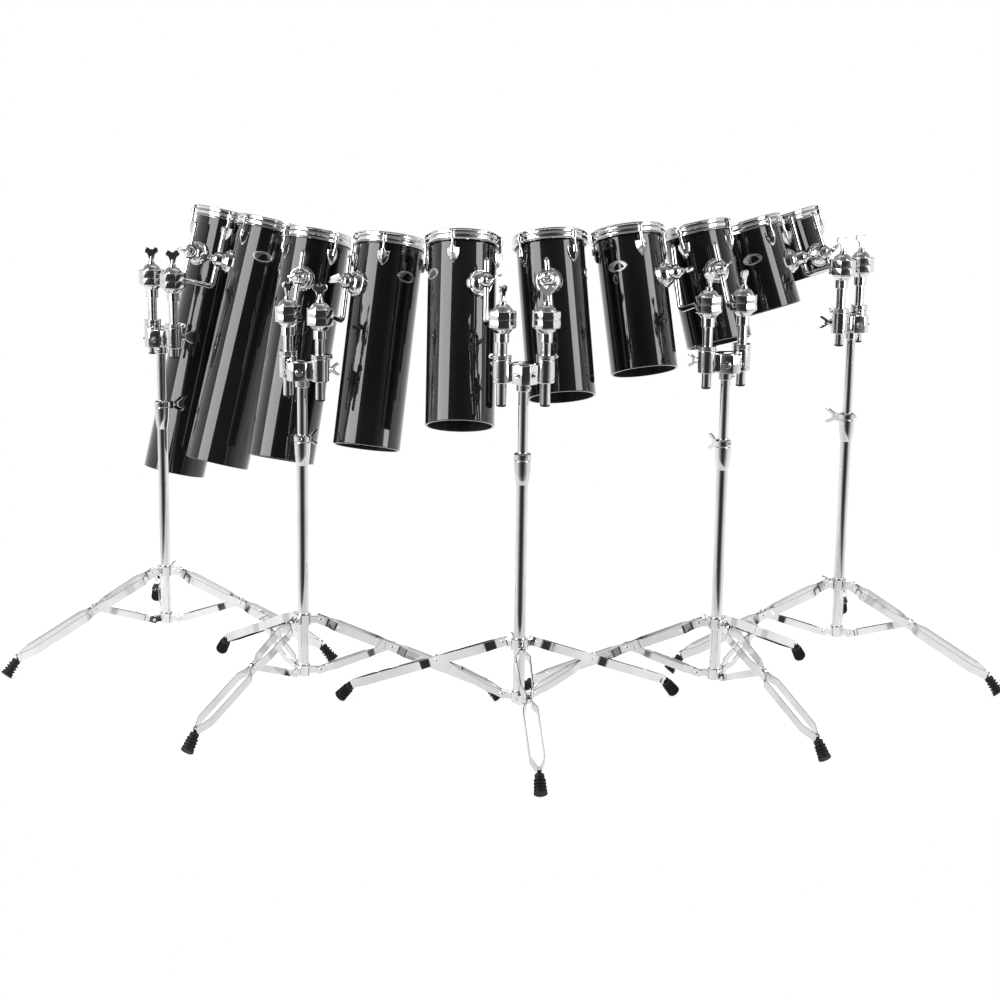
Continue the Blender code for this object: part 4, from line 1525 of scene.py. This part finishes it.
@dataclass
class DoubleClamp:
    """The upper tube with its stop collar and the clamp whose two sockets hold the posts."""

    kit: Kit
    tube_radius: float = SLIM_TUBE
    tube_foot: float = 0.300
    spread: float = POST_SPREAD
    back: float = POST_BACK
    height: float = CLAMP_HEIGHT
    body_radius: float = 0.0255
    bar_half: float = 0.011
    socket_radius: float = 0.020
    cap_half: float = 0.009
    cap_reach: float = 0.040
    cap_bevel: float = 0.018
    cap_below_top: float = 0.008
    cap_screw_height: float = 0.0200
    stop_radius: float = 0.0155
    stop_height: float = 0.017
    bolt_sideways: float = 0.45

    def socket(self, foot: float) -> Shape:
        """Turn a socket with a ring groove near its foot, bored for the post.

        Args:
            foot: The height of the clamp's foot.

        Returns:
            The socket about its own axis.
        """
        top, radius = foot + self.height, self.socket_radius
        groove = radius - 0.0010
        profile = [(radius - 0.0012, foot), (radius, foot + 0.0012), (radius, foot + 0.0066),
                   (groove, foot + 0.0074), (groove, foot + 0.0086), (radius, foot + 0.0094),
                   (radius, top - 0.0012), (radius - 0.0012, top), (SLIM_BORE, top), (SLIM_BORE, foot)]
        return Shape.turned(profile, 48, closed=True)

    def body(self, foot: float) -> list[Shape]:
        """Make the clamp's body round the tube and the bar between its sockets.

        Args:
            foot: The height of the clamp's foot.

        Returns:
            The body and the bored bar.
        """
        top = foot + self.height
        lid = top - self.cap_below_top + 0.0025
        radius = self.body_radius
        profile = [(radius - 0.0012, foot), (radius, foot + 0.0012), (radius, lid - 0.0020),
                   (radius - 0.0015, lid), (0.0135, lid), (0.0120, lid - 0.0015), (0.0, lid - 0.0015)]
        drill = Shape.turned([(SLIM_BORE, foot - 0.01), (SLIM_BORE, top + 0.01)], 32)
        bores = [drill.placed(shift(side.value * self.spread, self.back, 0.0)) for side in Side]
        low = (-self.spread, self.back - self.bar_half, foot + 0.003)
        high = (self.spread, self.back + self.bar_half, lid)
        return [Shape.turned(profile, 56), Shape.block(low, high).bevelled(0.0010).cut(*bores)]

    def cap(self, foot: float) -> Shape:
        """Make the front cap that closes the clamp round the tube.

        Args:
            foot: The height of the clamp's foot.

        Returns:
            The cap, a narrow front between two slopes.
        """
        bevel = self.cap_half + self.cap_bevel
        half = [(self.cap_half, -self.cap_reach), (bevel, self.cap_bevel - self.cap_reach),
                (bevel, self.back - self.bar_half)]
        top = foot + self.height - self.cap_below_top
        return Shape.prism(mirrored(half), foot + 0.0005, top).bevelled(0.0012)

    def add_cap_screws(self, form: Form, foot: float) -> None:
        """Add a key screw in its round boss to each slope of the cap.

        Args:
            form: The column.
            foot: The height of the clamp's foot.
        """
        chrome = self.kit.palette.chrome
        boss = [(0.0078, -0.001), (0.0078, 0.0010), (0.0070, 0.0018), (0.0056, 0.0018), (0.0050, 0.0008),
                (0.0, 0.0008)]
        screw = Shape.joined([Shape.turned(boss, 32), *KeyScrew(0.0056, 0.0062, 0.0046).shapes()])
        out, back = self.cap_half + self.cap_bevel / 2.0, self.cap_bevel / 2.0 - self.cap_reach
        height = foot + self.cap_screw_height
        seats = [toward((side.value, -1.0, 0.0), (side.value * out, back, height)) for side in Side]
        form.add(self.kit.copies.at(screw, seats, chrome), chrome)

    def add_socket_bolt(self, form: Form, side: Side, foot: float) -> None:
        """Add the boss and wing bolt that grip a post, to the outer back of its socket.

        Args:
            form: The column.
            side: Which socket it is on.
            foot: The height of the clamp's foot.
        """
        chrome = self.kit.palette.chrome
        outward = Vector((side.value * self.bolt_sideways, 1.0, 0.0)).normalized()
        middle = Vector((side.value * self.spread, self.back, foot + self.height / 2.0))
        seat = toward(outward, middle + outward * self.socket_radius)
        boss = [(0.0090, -0.004), (0.0090, 0.0030), (0.0080, 0.0042), (0.0050, 0.0046), (0.0, 0.0046)]
        form.add(Shape.turned(boss, 32), chrome, seat)
        bolt = WingBolt(0.028, 0.0150, 0.0050, WingShape.BUTTERFLY, hub=0.0064)
        form.add_all(bolt.shapes(), chrome, seat @ turn(90.0))

    def mesh(self, stand: StandPlace) -> bpy.types.Mesh:
        """Make the column of one stand.

        Args:
            stand: The stand.

        Returns:
            The column's mesh in its clamp's frame.
        """
        chrome = self.kit.palette.chrome
        foot = stand.clamp_foot
        form = Form()
        tube = [(self.tube_radius, self.tube_foot), (self.tube_radius, foot + 0.01)]
        form.add(Shape.turned(tube, 48), chrome)
        low, bore, radius = foot - self.stop_height, self.tube_radius - 0.0005, self.stop_radius
        stop = [(bore, low), (radius - 0.0010, low), (radius, low + 0.0010), (radius, foot - 0.0012),
                (radius - 0.0008, foot), (bore, foot)]
        form.add(Shape.turned(stop, 48), chrome)
        form.add_all(self.body(foot), chrome)
        form.add(self.cap(foot), chrome)
        for side in Side:
            form.add(self.socket(foot), chrome, shift(side.value * self.spread, self.back, 0.0))
            self.add_socket_bolt(form, side, foot)
        self.add_cap_screws(form, foot)
        screw = toward((0.6, -0.8, 0.0), (0.6 * radius, -0.8 * radius, foot - 0.0085))
        form.add_all(KeyScrew(0.0048, 0.0055, 0.0040).shapes(), chrome, screw)
        return form.mesh()


# Tripods


@dataclass
class LowerTube:
    """The lower tube with its base collar and the height clamp."""

    kit: Kit
    radius: float = 0.0127
    bore: float = SLIM_BORE
    collar_foot: float = 0.061
    collar_top: float = 0.088
    collar_radius: float = 0.016
    clamp_foot: float = 0.550
    clamp_neck: float = 0.575
    clamp_top: float = 0.620
    band_height: float = 0.017
    narrow: float = 0.0138
    wide: float = 0.0190

    def add_to(self, form: Form) -> None:
        """Add the tube, collar and clamp to a piece.

        Args:
            form: The piece.
        """
        bore, wide = self.bore, self.wide
        tube = [(self.radius, self.collar_foot + 0.002), (self.radius, self.clamp_foot + 0.004),
                (bore, self.clamp_foot + 0.004), (bore, self.collar_foot + 0.002)]
        foot, top, radius = self.collar_foot, self.collar_top, self.collar_radius
        collar = [(bore, foot), (radius - 0.0020, foot), (radius, foot + 0.0020), (radius, top - 0.0015),
                  (radius - 0.0015, top), (bore, top)]
        foot, top, step = self.clamp_foot, self.clamp_top, self.clamp_top - self.band_height
        cone = [(bore, foot), (self.narrow - 0.0004, foot), (self.narrow, foot + 0.001),
                (wide - 0.0018, self.clamp_neck), (wide - 0.0004, step - 0.001), (wide - 0.0010, step),
                (bore, step)]
        band = [(bore, step + 0.0008), (wide - 0.0006, step + 0.0008), (wide, step + 0.0016),
                (wide, top - 0.0040), (wide - 0.0040, top), (bore, top)]
        walls = [Shape.turned(profile, 48, closed=True) for profile in (tube, collar, cone, band)]
        form.add_all(walls, self.kit.palette.chrome)
        self.add_clamp_bolt(form)

    def add_clamp_bolt(self, form: Form) -> None:
        """Add the split lugs of the height clamp, with their wing bolt at the back and screw in front.

        Args:
            form: The piece.
        """
        chrome = self.kit.palette.chrome
        wide, height = self.wide, self.clamp_top - 0.014
        for gap in (-1.0, 1.0):
            near, far = sorted((gap * 0.0012, gap * 0.0062))
            ear = Shape.block((near, wide - 0.006, height - 0.009), (far, wide + 0.011, height + 0.009))
            form.add(ear.bevelled(0.0014), chrome)
        bolt = WingBolt(0.042, 0.0180, 0.0050, WingShape.BUTTERFLY, hub=0.0066)
        form.add_all(bolt.shapes(), chrome, toward((0.0, 1.0, 0.0), (0.0, wide, height)) @ turn(90.0))
        screw = toward((0.35, -1.0, 0.0), (0.33 * wide, -0.94 * wide, self.clamp_top - 0.009))
        form.add_all(KeyScrew(0.0046, 0.0040, 0.0038).shapes(), chrome, screw)


@dataclass
class Links:
    """Sizes of the legs and braces, measured out from the pole, and the shapes that they share."""

    pivot: float = 0.0396
    leg_height: float = 0.193
    brace_height: float = 0.075
    link: float = 0.174
    leg_end: Pair = (0.409, 0.047)
    strip: float = 0.002
    width: float = 0.020
    brace_half_width: float = 0.008
    ear_half: float = 0.004
    clearance: float = 0.0003
    softness: float = 0.004
    turns: tuple[float, ...] = (0.0, 120.0, 240.0)

    @property
    def pinch(self) -> float:
        """Return the outer half width where the strips grip an ear."""
        return self.ear_half + self.clearance + self.strip

    def frame(self, height: float, end: Pair) -> Matrix:
        """Find the frame of a leg or brace at its pivot.

        Args:
            height: The pivot's height.
            end: The far end's distance from the pole and its height.

        Returns:
            A frame whose Y runs to the end, with Z on the upper side.
        """
        along = Vector((0.0, -(end[0] - self.pivot), end[1] - height)).normalized()
        side = Vector((1.0, 0.0, 0.0))
        upper = side.cross(along)
        if upper.z < 0.0:
            side.negate()
            upper.negate()
        return Matrix((side, along, upper)).transposed().to_4x4()

    def ribbon(self, path: Sequence[Pair], half: float) -> Shape:
        """Bend one bowed strip.

        Args:
            path: Pairs of outer half width and distance, a little rounded at the bends.
            half: Half the strip's width.

        Returns:
            The strip, along Y, its thickness inside the path.
        """
        corners = [Vector((x, y)) for x, y in path]
        points = [corners[0]]
        for before, corner, after in zip(corners, corners[1:], corners[2:]):
            near = corner + (before - corner) * min(0.35, self.softness / (before - corner).length)
            far = corner + (after - corner) * min(0.35, self.softness / (after - corner).length)
            points += [near, (near + corner * 2.0 + far) / 4.0, far]
        points.append(corners[-1])
        inner = []
        for i, point in enumerate(points):
            run = points[min(i + 1, len(points) - 1)] - points[max(i - 1, 0)]
            across = Vector((-run.y, run.x)).normalized()
            inner.append(point + across * self.strip * (1.0 if points[0].x > 0.0 else -1.0))
        outline = [(p.x, p.y) for p in points] + [(p.x, p.y) for p in reversed(inner)]
        return Shape.prism(outline, -half, half).bevelled(0.0004, 1)

    def ear(self, height: float, collar: float) -> Shape:
        """Make a collar's ear towards -Y with its rounded end.

        Args:
            height: The height of its hole.
            collar: The collar's radius.

        Returns:
            The ear.
        """
        root = -collar + 0.0025
        end = arc((-self.pivot - 0.0010, height), (0.0088, 0.0080), 90.0, 270.0, 10)
        outline = [(root, height + 0.0080), *end, (root, height - 0.0080)]
        upright = Matrix(((0.0, 0.0, 1.0), (1.0, 0.0, 0.0), (0.0, 1.0, 0.0))).to_4x4()
        return Shape.prism(outline, -self.ear_half, self.ear_half).bevelled(0.0006).placed(upright)

    def rivet(self) -> Shape:
        """Turn a rivet along X through the pinched strips.

        Returns:
            The rivet with a domed head at each end.
        """
        half, rise = self.pinch, 0.0016
        head = [(0.0030, half), *arc((0.0, half), (0.0042, rise), 0.0, 75.0, 5), (0.0, half + rise)]
        return Shape.turned([*[(x, -y) for x, y in reversed(head)], *head], 20).placed(turn(90.0, "Y"))


@dataclass
class Leg:
    """A leg of two bowed strips with its rubber boot, its hinge at the origin."""

    kit: Kit
    links: Links
    contact: float = 0.437
    boot_length: float = 0.044
    top_radius: float = 0.0102
    foot_radius: float = 0.0142
    slant: float = 47.0

    def metal(self) -> bpy.types.Mesh:
        """Make the strips, the toe between their ends and the rivets.

        Returns:
            The metal's mesh.
        """
        links = self.links
        chrome = self.kit.palette.chrome
        length = math.dist((links.pivot, links.leg_height), links.leg_end)
        pinch = links.pinch
        path = [(pinch, -0.011), (pinch, 0.018), (0.0170, 0.036), (0.0140, 0.138), (pinch, 0.158),
                (pinch, 0.190), (0.0165, 0.208), (0.0165, length - 0.032), (0.0046, length - 0.002),
                (0.0046, length + 0.008)]
        frame = links.frame(links.leg_height, links.leg_end)
        form = Form()
        for side in (1.0, -1.0):
            form.add(links.ribbon([(side * x, y) for x, y in path], links.width / 2.0), chrome, frame)
        toe = Shape.block((-0.0030, length - 0.004, -0.0080), (0.0030, length + 0.008, 0.0080))
        form.add(toe.bevelled(0.0006), chrome, frame)
        spots = [frame @ shift(0.0, links.link, 0.0), frame @ shift(0.0, 0.0, 0.0)]
        form.add(self.kit.copies.at(links.rivet(), spots, chrome), chrome)
        head = [(0.0026, 0.0), (0.0026, 0.0004), (0.0018, 0.0011), (0.0, 0.0013)]
        spots = [frame @ toward((side, 0.0, 0.0), (side * 0.0166, 0.044, 0.0)) for side in (1.0, -1.0)]
        form.add(self.kit.copies.at(Shape.turned(head, 16), spots, chrome), chrome)
        return form.mesh()

    def boot(self) -> bpy.types.Mesh:
        """Make the ribbed rubber boot.

        Returns:
            The boot's mesh.
        """
        links = self.links
        rubber = self.kit.palette.rubber
        slant = math.radians(self.slant)
        down = Vector((0.0, -math.cos(slant), -math.sin(slant)))
        across = Vector((0.0, -math.sin(slant), math.cos(slant)))
        sole = Vector((0.0, links.pivot - self.contact, -links.leg_height)) + across * self.foot_radius
        place = toward(down, sole - down * self.boot_length)
        end, top, foot = self.boot_length, self.top_radius, self.foot_radius
        core = [(0.0, 0.0), (top - 0.0014, 0.0), (top, 0.0012), (top, 0.0078), (top - 0.0012, 0.0090),
                (top - 0.0010, end - 0.018), (foot - 0.0022, end - 0.005), (foot, end - 0.0040),
                (foot, end - 0.0010), (foot - 0.0012, end), (0.0, end)]
        form = Form()
        form.add(Shape.turned(core, 28), rubber, place)
        ribs = self.kit.ribs.rising(rubber, Count=4, Step=0.0074, Start=0.0128, Radius=0.0128, Growth=0.034,
                                    Thickness=0.0030)
        form.add(ribs, rubber, place)
        return form.mesh()


@dataclass
class Brace:
    """A brace of two strips, its hinge at the origin and its tongue between the leg's strips."""

    kit: Kit
    links: Links
    tongue_half: float = 0.0074

    def metal(self) -> bpy.types.Mesh:
        """Make the strips, tongue and rivet.

        Returns:
            The brace's mesh.
        """
        links = self.links
        chrome = self.kit.palette.chrome
        rise = (links.leg_height - links.brace_height) / 2.0
        reach = math.sqrt(links.link ** 2 - rise ** 2)
        frame = links.frame(links.brace_height, (links.pivot + reach, links.brace_height + rise))
        pinch, end, half = links.pinch, links.link + 0.002, self.tongue_half
        path = [(pinch, -0.009), (pinch, 0.016), (0.0125, 0.030), (0.0110, 0.112), (links.ear_half, 0.132),
                (links.ear_half, end)]
        form = Form()
        for side in (1.0, -1.0):
            form.add(links.ribbon([(side * x, y) for x, y in path], links.brace_half_width), chrome, frame)
        tongue = [(-half, 0.130), *arc((0.0, end), (half, half), 180.0, 0.0, 8), (half, 0.130)]
        flat = Matrix(((0.0, 0.0, 1.0), (0.0, 1.0, 0.0), (1.0, 0.0, 0.0))).to_4x4()
        form.add(Shape.prism(tongue, -0.0038, 0.0038).bevelled(0.0006).placed(flat), chrome, frame)
        form.add(links.rivet(), chrome, frame)
        return form.mesh()


@dataclass
class LegCollar:
    """The collar that slides on the lower tube and carries the three legs."""

    kit: Kit
    links: Links
    low: float = 0.180
    high: float = 0.207
    radius: float = 0.0185
    bore: float = 0.0130
    bolt_turn: float = 200.0

    def add_to(self, form: Form) -> None:
        """Add the collar, its ears and its small wing bolt to a piece.

        Args:
            form: The piece.
        """
        chrome = self.kit.palette.chrome
        low, high, radius = self.low, self.high, self.radius
        profile = [(self.bore, low), (radius - 0.0030, low), (radius - 0.0010, low + 0.0012),
                   (radius, low + 0.0035), (radius, high - 0.0014), (radius - 0.0012, high),
                   (self.bore, high)]
        form.add(Shape.turned(profile, 48, closed=True), chrome)
        for angle in self.links.turns:
            form.add(self.links.ear(self.links.leg_height, radius), chrome, turn(angle))
        outward = turn(self.bolt_turn) @ Vector((0.0, -1.0, 0.0))
        seat = toward(outward, outward * radius + Vector((0.0, 0.0, high - 0.007)))
        boss = Shape.turned([(0.0058, -0.003), (0.0058, 0.0022), (0.0048, 0.0030), (0.0, 0.0030)], 28)
        form.add(boss, chrome, seat)
        bolt = WingBolt(0.026, 0.0100, 0.0040, WingShape.BUTTERFLY, hub=0.0048)
        form.add_all(bolt.shapes(), chrome, seat @ turn(90.0))


class Tripod:
    """A tripod base, whole for one body or in the pieces that fold."""

    def __init__(self, kit: Kit) -> None:
        """Build the shared legs and braces.

        Args:
            kit: Finishes and rule trees.
        """
        self.kit = kit
        self.links = Links()
        self.tube = LowerTube(kit)
        self.collar = LegCollar(kit, self.links)
        leg = Leg(kit, self.links)
        self.leg_metal = leg.metal()
        self.leg_boot = leg.boot()
        self.brace_metal = Brace(kit, self.links).metal()

    def hinge(self, angle: float, height: float) -> Matrix:
        """Return the hinge of a leg or brace."""
        return turn(angle) @ shift(0.0, -self.links.pivot, height)

    def add_base(self, form: Form) -> None:
        """Add the lower tube with the ears of its base collar.

        Args:
            form: The piece that takes them.
        """
        self.tube.add_to(form)
        for angle in self.links.turns:
            ear = self.links.ear(self.links.brace_height, self.tube.collar_radius)
            form.add(ear, self.kit.palette.chrome, turn(angle))

    def set_down_whole(self, bench: Bench, base: Matrix, node: str) -> None:
        """Set down a tripod that stands as one body.

        Args:
            bench: Where pieces are set down.
            base: The frame of its base.
            node: The solid that it stands for.
        """
        metal, black = Form(), Form()
        self.add_base(metal)
        self.collar.add_to(metal)
        for angle in self.links.turns:
            leg, brace = self.hinge(angle, self.links.leg_height), self.hinge(angle, self.links.brace_height)
            metal.add(Shape(self.leg_metal), self.kit.palette.chrome, leg)
            metal.add(Shape(self.brace_metal), self.kit.palette.chrome, brace)
            black.add(Shape(self.leg_boot), self.kit.palette.rubber, leg)
        bench.set_down(f"{node}_metal", metal.mesh(), base, "bases", [node], Slot.CHROME)
        bench.set_down(f"{node}_boots", black.mesh(), base, "bases")

    def set_down_folding(self, bench: Bench, base: Matrix) -> None:
        """Set down the middle tripod, each moving piece on its own body.

        Args:
            bench: Where pieces are set down.
            base: The frame of its base.
        """
        form = Form()
        self.add_base(form)
        node = "centre_lower_tube"
        bench.set_down(f"{node}_metal", form.mesh(), base, "bases", [node], Slot.CHROME)
        form = Form()
        self.collar.add_to(form)
        node = "centre_leg_collar"
        bench.set_down(f"{node}_metal", form.mesh(), base, "leg_collar", [node], Slot.CHROME)
        for number, angle in enumerate(self.links.turns, start=1):
            leg = base @ self.hinge(angle, self.links.leg_height)
            brace = base @ self.hinge(angle, self.links.brace_height)
            node = f"centre_leg_{number}"
            bench.set_down(f"{node}_metal", self.leg_metal, leg, f"leg_{number}", [node], Slot.CHROME)
            bench.set_down(f"{node}_boot", self.leg_boot, leg, f"leg_{number}")
            node = f"centre_brace_{number}"
            bench.set_down(f"{node}_metal", self.brace_metal, brace, f"brace_{number}", [node], Slot.CHROME)

    def set_down(self, bench: Bench, layout: Layout, stand: StandPlace) -> None:
        """Set down one stand's base.

        Args:
            bench: Where pieces are set down.
            layout: The frames of the set.
            stand: The stand.
        """
        if stand.name == "centre":
            self.set_down_folding(bench, layout.base(stand))
        else:
            self.set_down_whole(bench, layout.base(stand), f"{stand.name}_tripod")


class Columns:
    """The upper halves of the stands: clamps, posts and arms."""

    def __init__(self, kit: Kit) -> None:
        """Build what the stands share.

        Args:
            kit: Finishes and rule trees.
        """
        self.clamp = DoubleClamp(kit)
        self.post = BallPost(kit)
        self.arm = RodArm(kit).mesh()

    def set_down(self, bench: Bench, layout: Layout, stand: StandPlace) -> None:
        """Set down one stand's column, posts and arms.

        Args:
            bench: Where pieces are set down.
            layout: The frames of the set.
            stand: The stand.
        """
        column = f"{stand.name}_column"
        mesh = self.clamp.mesh(stand)
        bench.set_down(f"{column}_metal", mesh, layout.clamp(stand), column, [column], Slot.CHROME)
        for drum in DRUMS:
            if drum.stand != stand.name:
                continue
            post = f"{stand.name}_post_{drum.side.label}"
            body, nodes = (post, [post]) if stand.name == "centre" else (column, [])
            mesh = self.post.mesh(stand, drum)
            bench.set_down(f"{post}_metal", mesh, layout.post(stand, drum.side), body, nodes, Slot.CHROME)
            arm = f"{stand.name}_arm_{drum.side.label}"
            bench.set_down(f"{arm}_metal", self.arm, layout.arm(drum), arm, [arm], Slot.CHROME)


class Drums:
    """The ten drums, which share all but the length of their tubes."""

    def __init__(self, kit: Kit) -> None:
        """Build what the drums share.

        Args:
            kit: Finishes and rule trees.
        """
        self.tube = DrumTube(kit)
        self.fittings = self.tube.fittings()
        self.plates = {side: self.tube.plate(side) for side in Side}
        self.head = DrumHead(kit, self.tube).mesh()
        self.hoop = CounterHoop(kit, self.tube).mesh()

    def set_down(self, bench: Bench, layout: Layout, drum: DrumPlace) -> None:
        """Set down one drum.

        Args:
            bench: Where pieces are set down.
            layout: The frames of the set.
            drum: The drum.
        """
        name = f"drum_{drum.number}"
        place = layout.drum(drum)
        tube = self.tube.tube(drum.length)
        bench.set_down(f"{name}_tube", tube, place, name, [f"{name}_shell"], Slot.LACQUER)
        bench.set_down(f"{name}_fittings", self.fittings, place, name, [], Slot.CHROME)
        bench.set_down(f"{name}_plate", self.plates[drum.side], place, name)
        bench.set_down(f"{name}_film", self.head, place, name, [f"{name}_head"], Slot.FILM)
        bench.set_down(f"{name}_hoop_metal", self.hoop, place, name, [f"{name}_hoop"], Slot.CHROME)


# Studio


@dataclass(frozen=True)
class SoftBox:
    """A soft light, as bright per area as its radiance."""

    name: str
    place: Triple
    aim: Triple
    width: float
    height: float
    radiance: float
    roll: float = 0.0

    def hang(self) -> None:
        """Hang and aim the lamp."""
        data = bpy.data.lights.new(self.name, "AREA")
        data.shape = "RECTANGLE"
        data.size = self.width
        data.size_y = self.height
        data.energy = self.radiance * math.pi * self.width * self.height
        lamp = bpy.data.objects.new(self.name, data)
        bpy.context.scene.collection.objects.link(lamp)
        aim = (Vector(self.aim) - Vector(self.place)).to_track_quat("-Z", "Y").to_matrix().to_4x4()
        lamp.matrix_world = Matrix.Translation(self.place) @ aim @ turn(self.roll)


BOXES = (
    SoftBox("left_box", (-2.25, -1.30, 1.65), (0.0, 0.0, 1.0), 1.7, 2.3, 6.0, -6.0),
    SoftBox("right_box", (2.35, -1.15, 1.65), (0.0, 0.0, 1.0), 1.0, 2.3, 6.0, 6.0),
    SoftBox("top_box", (0.0, 0.6, 3.4), (0.0, 0.2, 0.5), 2.4, 1.6, 0.5),
)


@dataclass
class Studio:
    """A white sweep, soft lamps and the camera of the photograph.

    Metal and lacquer mirror a room that is dark behind the camera and pale at the sides and back.
    """

    pole: Vector
    camera_side: float = -0.047
    camera_back: float = 4.413
    camera_height: float = 1.4584
    camera_pitch: float = 12.0717
    camera_roll: float = 0.8330
    focal_pixels: float = 2094.75
    picture: float = 1000.0
    sensor: float = 36.0
    floor_radius: float = 1.72
    floor_back: float = 0.62
    floor_tones: Pair = (0.33, 0.37)
    floor_glow: float = 0.80
    floor_mirrored: tuple[Pair, ...] = ((0.0, 0.34), (0.30, 0.50), (0.50, 0.68), (1.0, 0.76))
    room_depth: tuple[Pair, ...] = ((0.0, 0.03), (0.055, 0.04), (0.12, 0.25), (0.25, 0.55), (0.40, 0.95),
                                    (1.0, 1.0))
    room_height: tuple[Pair, ...] = ((0.0, 1.0), (0.58, 1.0), (0.70, 0.42), (1.0, 0.22))
    fill: float = 0.55

    def add_camera(self) -> None:
        """Set up the camera."""
        data = bpy.data.cameras.new("camera")
        data.sensor_width = self.sensor
        data.sensor_fit = "HORIZONTAL"
        data.lens = self.focal_pixels * self.sensor / self.picture
        data.clip_end = 100.0
        camera = bpy.data.objects.new("camera", data)
        bpy.context.scene.collection.objects.link(camera)
        place = shift(self.pole.x + self.camera_side, self.pole.y - self.camera_back, self.camera_height)
        camera.matrix_world = place @ turn(90.0 - self.camera_pitch, "X") @ turn(self.camera_roll)
        bpy.context.scene.camera = camera

    def floor_finish(self) -> bpy.types.Material:
        """Mix the floor's finish.

        Returns:
            A material that glows and takes a shadow, darker to the front where metal mirrors it.
        """
        material = bpy.data.materials.new("pale_floor")
        material.use_nodes = True
        wiring = Wiring(material.node_tree)
        wiring.tree.nodes.clear()
        place = wiring.node("ShaderNodeTexCoord").outputs["Object"]
        noise = wiring.node("ShaderNodeTexNoise", {"Vector": place, "Scale": 30.0})
        ramp = wiring.node("ShaderNodeValToRGB", {"Fac": noise.outputs["Fac"]})
        for element, grey in zip(ramp.color_ramp.elements, self.floor_tones):
            element.color = (grey, grey, grey, 1.0)
        matt = wiring.node("ShaderNodeBsdfDiffuse", {"Color": ramp.outputs["Color"]})
        parts = wiring.node("ShaderNodeSeparateXYZ", {0: place})
        mirror = wiring.greys(parts.outputs["Y"], self.floor_mirrored)
        glossy = wiring.node("ShaderNodeLightPath").outputs["Is Glossy Ray"]
        strength = wiring.node("ShaderNodeMix", {0: glossy, 2: self.floor_glow, 3: mirror})
        glow = wiring.node("ShaderNodeEmission", {"Strength": strength.outputs[0]})
        both = wiring.node("ShaderNodeAddShader", {0: matt.outputs[0], 1: glow.outputs[0]})
        wiring.node("ShaderNodeOutputMaterial", {"Surface": both.outputs[0]})
        return material

    def add_floor(self) -> None:
        """Lay the pale floor, white to the camera apart from the object's faint shadow."""
        outline = arc((0.0, self.floor_back), (self.floor_radius, self.floor_radius), 0.0, 356.25, 95)
        mesh = bpy.data.meshes.new("floor")
        mesh.from_pydata([(x, y, -0.0005) for x, y in outline], [], [tuple(range(len(outline)))])
        mesh.materials.append(self.floor_finish())
        floor = bpy.data.objects.new("floor", mesh)
        bpy.context.scene.collection.objects.link(floor)

    def add_world(self) -> None:
        """Paint the surroundings: white to the camera, a studio's greys to metal and lacquer."""
        world = bpy.data.worlds.new("studio")
        bpy.context.scene.world = world
        world.use_nodes = True
        wiring = Wiring(world.node_tree)
        wiring.tree.nodes.clear()
        place = wiring.node("ShaderNodeTexCoord")
        parts = wiring.node("ShaderNodeSeparateXYZ", {0: place.outputs["Generated"]})
        depth = wiring.greys(parts.outputs["Y"], self.room_depth)
        height = wiring.greys(parts.outputs["Z"], self.room_height)
        shade = wiring.node("ShaderNodeMath", {0: depth, 1: height}, operation="MULTIPLY")
        path = wiring.node("ShaderNodeLightPath")
        rays = {0: path.outputs["Is Camera Ray"], 1: path.outputs["Is Transmission Ray"]}
        seen = wiring.node("ShaderNodeMath", rays, operation="MAXIMUM")
        walls = self.backdrop(wiring, shade.outputs[0])
        white = self.backdrop(wiring, 1.0)
        fill = self.backdrop(wiring, self.fill)
        metal = wiring.node("ShaderNodeMixShader", {"Fac": path.outputs["Is Glossy Ray"], 1: fill, 2: walls})
        whole = wiring.node("ShaderNodeMixShader", {"Fac": seen.outputs[0], 1: metal.outputs[0], 2: white})
        wiring.node("ShaderNodeOutputWorld", {"Surface": whole.outputs[0]})

    @staticmethod
    def backdrop(wiring: Wiring, strength: bpy.types.NodeSocket | float) -> bpy.types.NodeSocket:
        """Return the output of a white background."""
        feeds = {"Color": (1.0, 1.0, 1.0, 1.0), "Strength": strength}
        return wiring.node("ShaderNodeBackground", feeds).outputs[0]

    def build(self) -> None:
        """Set up the whole studio."""
        self.add_world()
        for box in BOXES:
            box.hang()
        self.add_floor()
        self.add_camera()
        bpy.context.scene.view_settings.view_transform = "Standard"


def main() -> None:
    """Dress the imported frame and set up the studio."""
    logging.basicConfig(level=logging.INFO, format="%(name)s: %(message)s")
    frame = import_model()
    layout = Layout(frame["joints"])
    kit = Kit(Palette.mixed(), BentRod(), RolledRing(), Copies(), RibStack())
    bench = Bench()
    tripod = Tripod(kit)
    columns = Columns(kit)
    for stand in STANDS:
        tripod.set_down(bench, layout, stand)
        columns.set_down(bench, layout, stand)
    drums = Drums(kit)
    for drum in DRUMS:
        drums.set_down(bench, layout, drum)
    Studio(layout.pole).build()
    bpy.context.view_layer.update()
    LOG.info("%d pieces, %d triangles", bench.count, bench.triangles)


if __name__ == "__main__":
    main()
